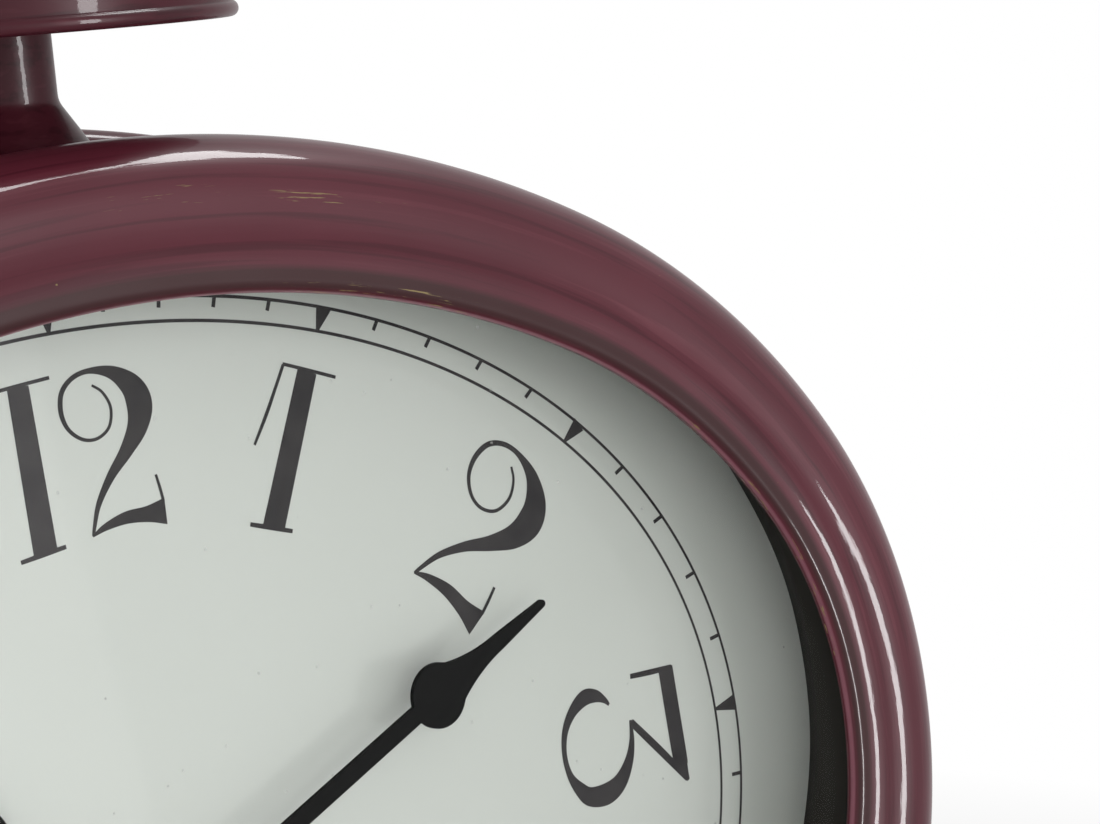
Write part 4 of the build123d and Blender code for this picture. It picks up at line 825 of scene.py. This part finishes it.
# Floor and white surround, which the camera, gloss and glass all see alike
surround = dict(level=0.5, floorHalf=0.42, floorShade=0.3, shadeFrom=0.15, shadeTo=0.40)
floorHalf = surround["floorHalf"]
floorMesh = bpy.data.meshes.new("studioFloor")
floorMesh.from_pydata([(-floorHalf, -floorHalf, 0), (floorHalf, -floorHalf, 0), (floorHalf, floorHalf, 0),
                       (-floorHalf, floorHalf, 0)], [], [(0, 1, 2, 3)])
floor = bpy.data.objects.new("studioFloor", floorMesh)
bpy.context.scene.collection.objects.link(floor)


# One for a ray that looks at the surround, nought for a ray that only gathers light
def lookingRay(tree):
    path = addNode(tree, "ShaderNodeLightPath")
    return chained(tree, "MAXIMUM", path.outputs["Is Camera Ray"], path.outputs["Is Transmission Ray"],
                   path.outputs["Is Glossy Ray"])


pale, paleTree, paleShader = newMaterial("paleFloor", (0.85, 0.85, 0.85), 0.9)
floorPlace = addNode(paleTree, "ShaderNodeTexCoord").outputs["Object"]
floorFar = addNode(paleTree, "ShaderNodeVectorMath", {0: floorPlace}, operation="LENGTH").outputs["Value"]
floorFade = addNode(paleTree, "ShaderNodeMapRange", {"Value": floorFar, "From Min": surround["shadeFrom"],
                                                     "From Max": surround["shadeTo"],
                                                     "To Min": surround["floorShade"]})
floorMix = chained(paleTree, "MULTIPLY", lookingRay(paleTree), floorFade.outputs["Result"])
glow = addNode(paleTree, "ShaderNodeEmission", {"Color": (1, 1, 1, 1), "Strength": 1.0})
floorBlend = addNode(paleTree, "ShaderNodeMixShader", {0: floorMix, 1: paleShader.outputs["BSDF"],
                                                       2: glow.outputs[0]})
paleTree.links.new(floorBlend.outputs[0], paleTree.nodes["Material Output"].inputs["Surface"])
floorMesh.materials.append(pale)

world = bpy.data.worlds.new("studioWorld")
bpy.context.scene.world = world
world.use_nodes = True
skyTree = world.node_tree
skyTree.nodes.clear()
bright = addNode(skyTree, "ShaderNodeBackground", {"Color": (1, 1, 1, 1), "Strength": 1.0})
soft = addNode(skyTree, "ShaderNodeBackground", {"Color": (1, 1, 1, 1), "Strength": surround["level"]})
sky = addNode(skyTree, "ShaderNodeMixShader", {0: lookingRay(skyTree), 1: soft.outputs[0], 2: bright.outputs[0]})
addNode(skyTree, "ShaderNodeOutputWorld", {"Surface": sky.outputs[0]})


# Named pieces in a collection of their own, for the lamps to be linked to
def gathered(name, pieces):
    group = bpy.data.collections.new(name)
    for piece in pieces:
        group.objects.link(bpy.data.objects[piece])
    return group


enamelPieces = ["bezelRing", "caseWall", "rearHoop", "basePlinth", "platformPost", "topPlate"]
# Pieces that mirror the two bright boxes, which bare metal would show as a glare
mirrorPieces = gathered("mirrorPieces", enamelPieces + ["front_glass", "dial", "minuteTrack", "dialNumerals",
                                                        "minute_hand", "hour_hand"])
# Pieces that shade the two boxes; the hands don't, because the photograph's shadow of them is faint
shadePieces = gathered("shadePieces", enamelPieces + ["spacerWall", "dial"])


# Flat lamp that faces its aim, its second size along a direction; it is either seen in gloss or lights the clock
def softLamp(name, place, aim, size, power, along=(0, 0, 1), inGloss=False):
    data = bpy.data.lights.new(name, "AREA")
    data.shape = "RECTANGLE"
    data.size, data.size_y = size
    data.energy = power
    lamp = bpy.data.objects.new(name, data)
    bpy.context.scene.collection.objects.link(lamp)
    back = (Vector(place) - Vector(aim)).normalized()
    across = Vector(along).cross(back).normalized()
    turn = Matrix((across, back.cross(across), back)).transposed()
    lamp.matrix_world = Matrix.Translation(Vector(place)) @ turn.to_4x4()
    lamp.visible_glossy = inGloss
    lamp.visible_diffuse = not inGloss
    if inGloss:
        lamp.light_linking.receiver_collection = mirrorPieces
        lamp.light_linking.blocker_collection = shadePieces


softLamp("windowBox", (0.47, -1.96, 0.25), (0.05, 0, 0.12), (0.33, 1.5), 60.0, inGloss=True)
softLamp("overBox", (0.59, -0.16, 1.195), (0, 0, 0.2), (0.26, 0.52), 12.0, (0.30, 0.24, -0.175), inGloss=True)
dialMiddle = (0, 0, 0.12)
softLamp("frontFill", (-0.30, -1.90, 0.05), dialMiddle, (2.4, 1.6), 6.0)
softLamp("viewFill", (-0.95, -1.60, 0.42), dialMiddle, (1.2, 1.2), 8.0)
softLamp("sideLamp", (0.78, -1.28, 0.02), dialMiddle, (0.16, 0.16), 1.1)
print("clock: light made")

bpy.context.scene.view_settings.view_transform = "Standard"
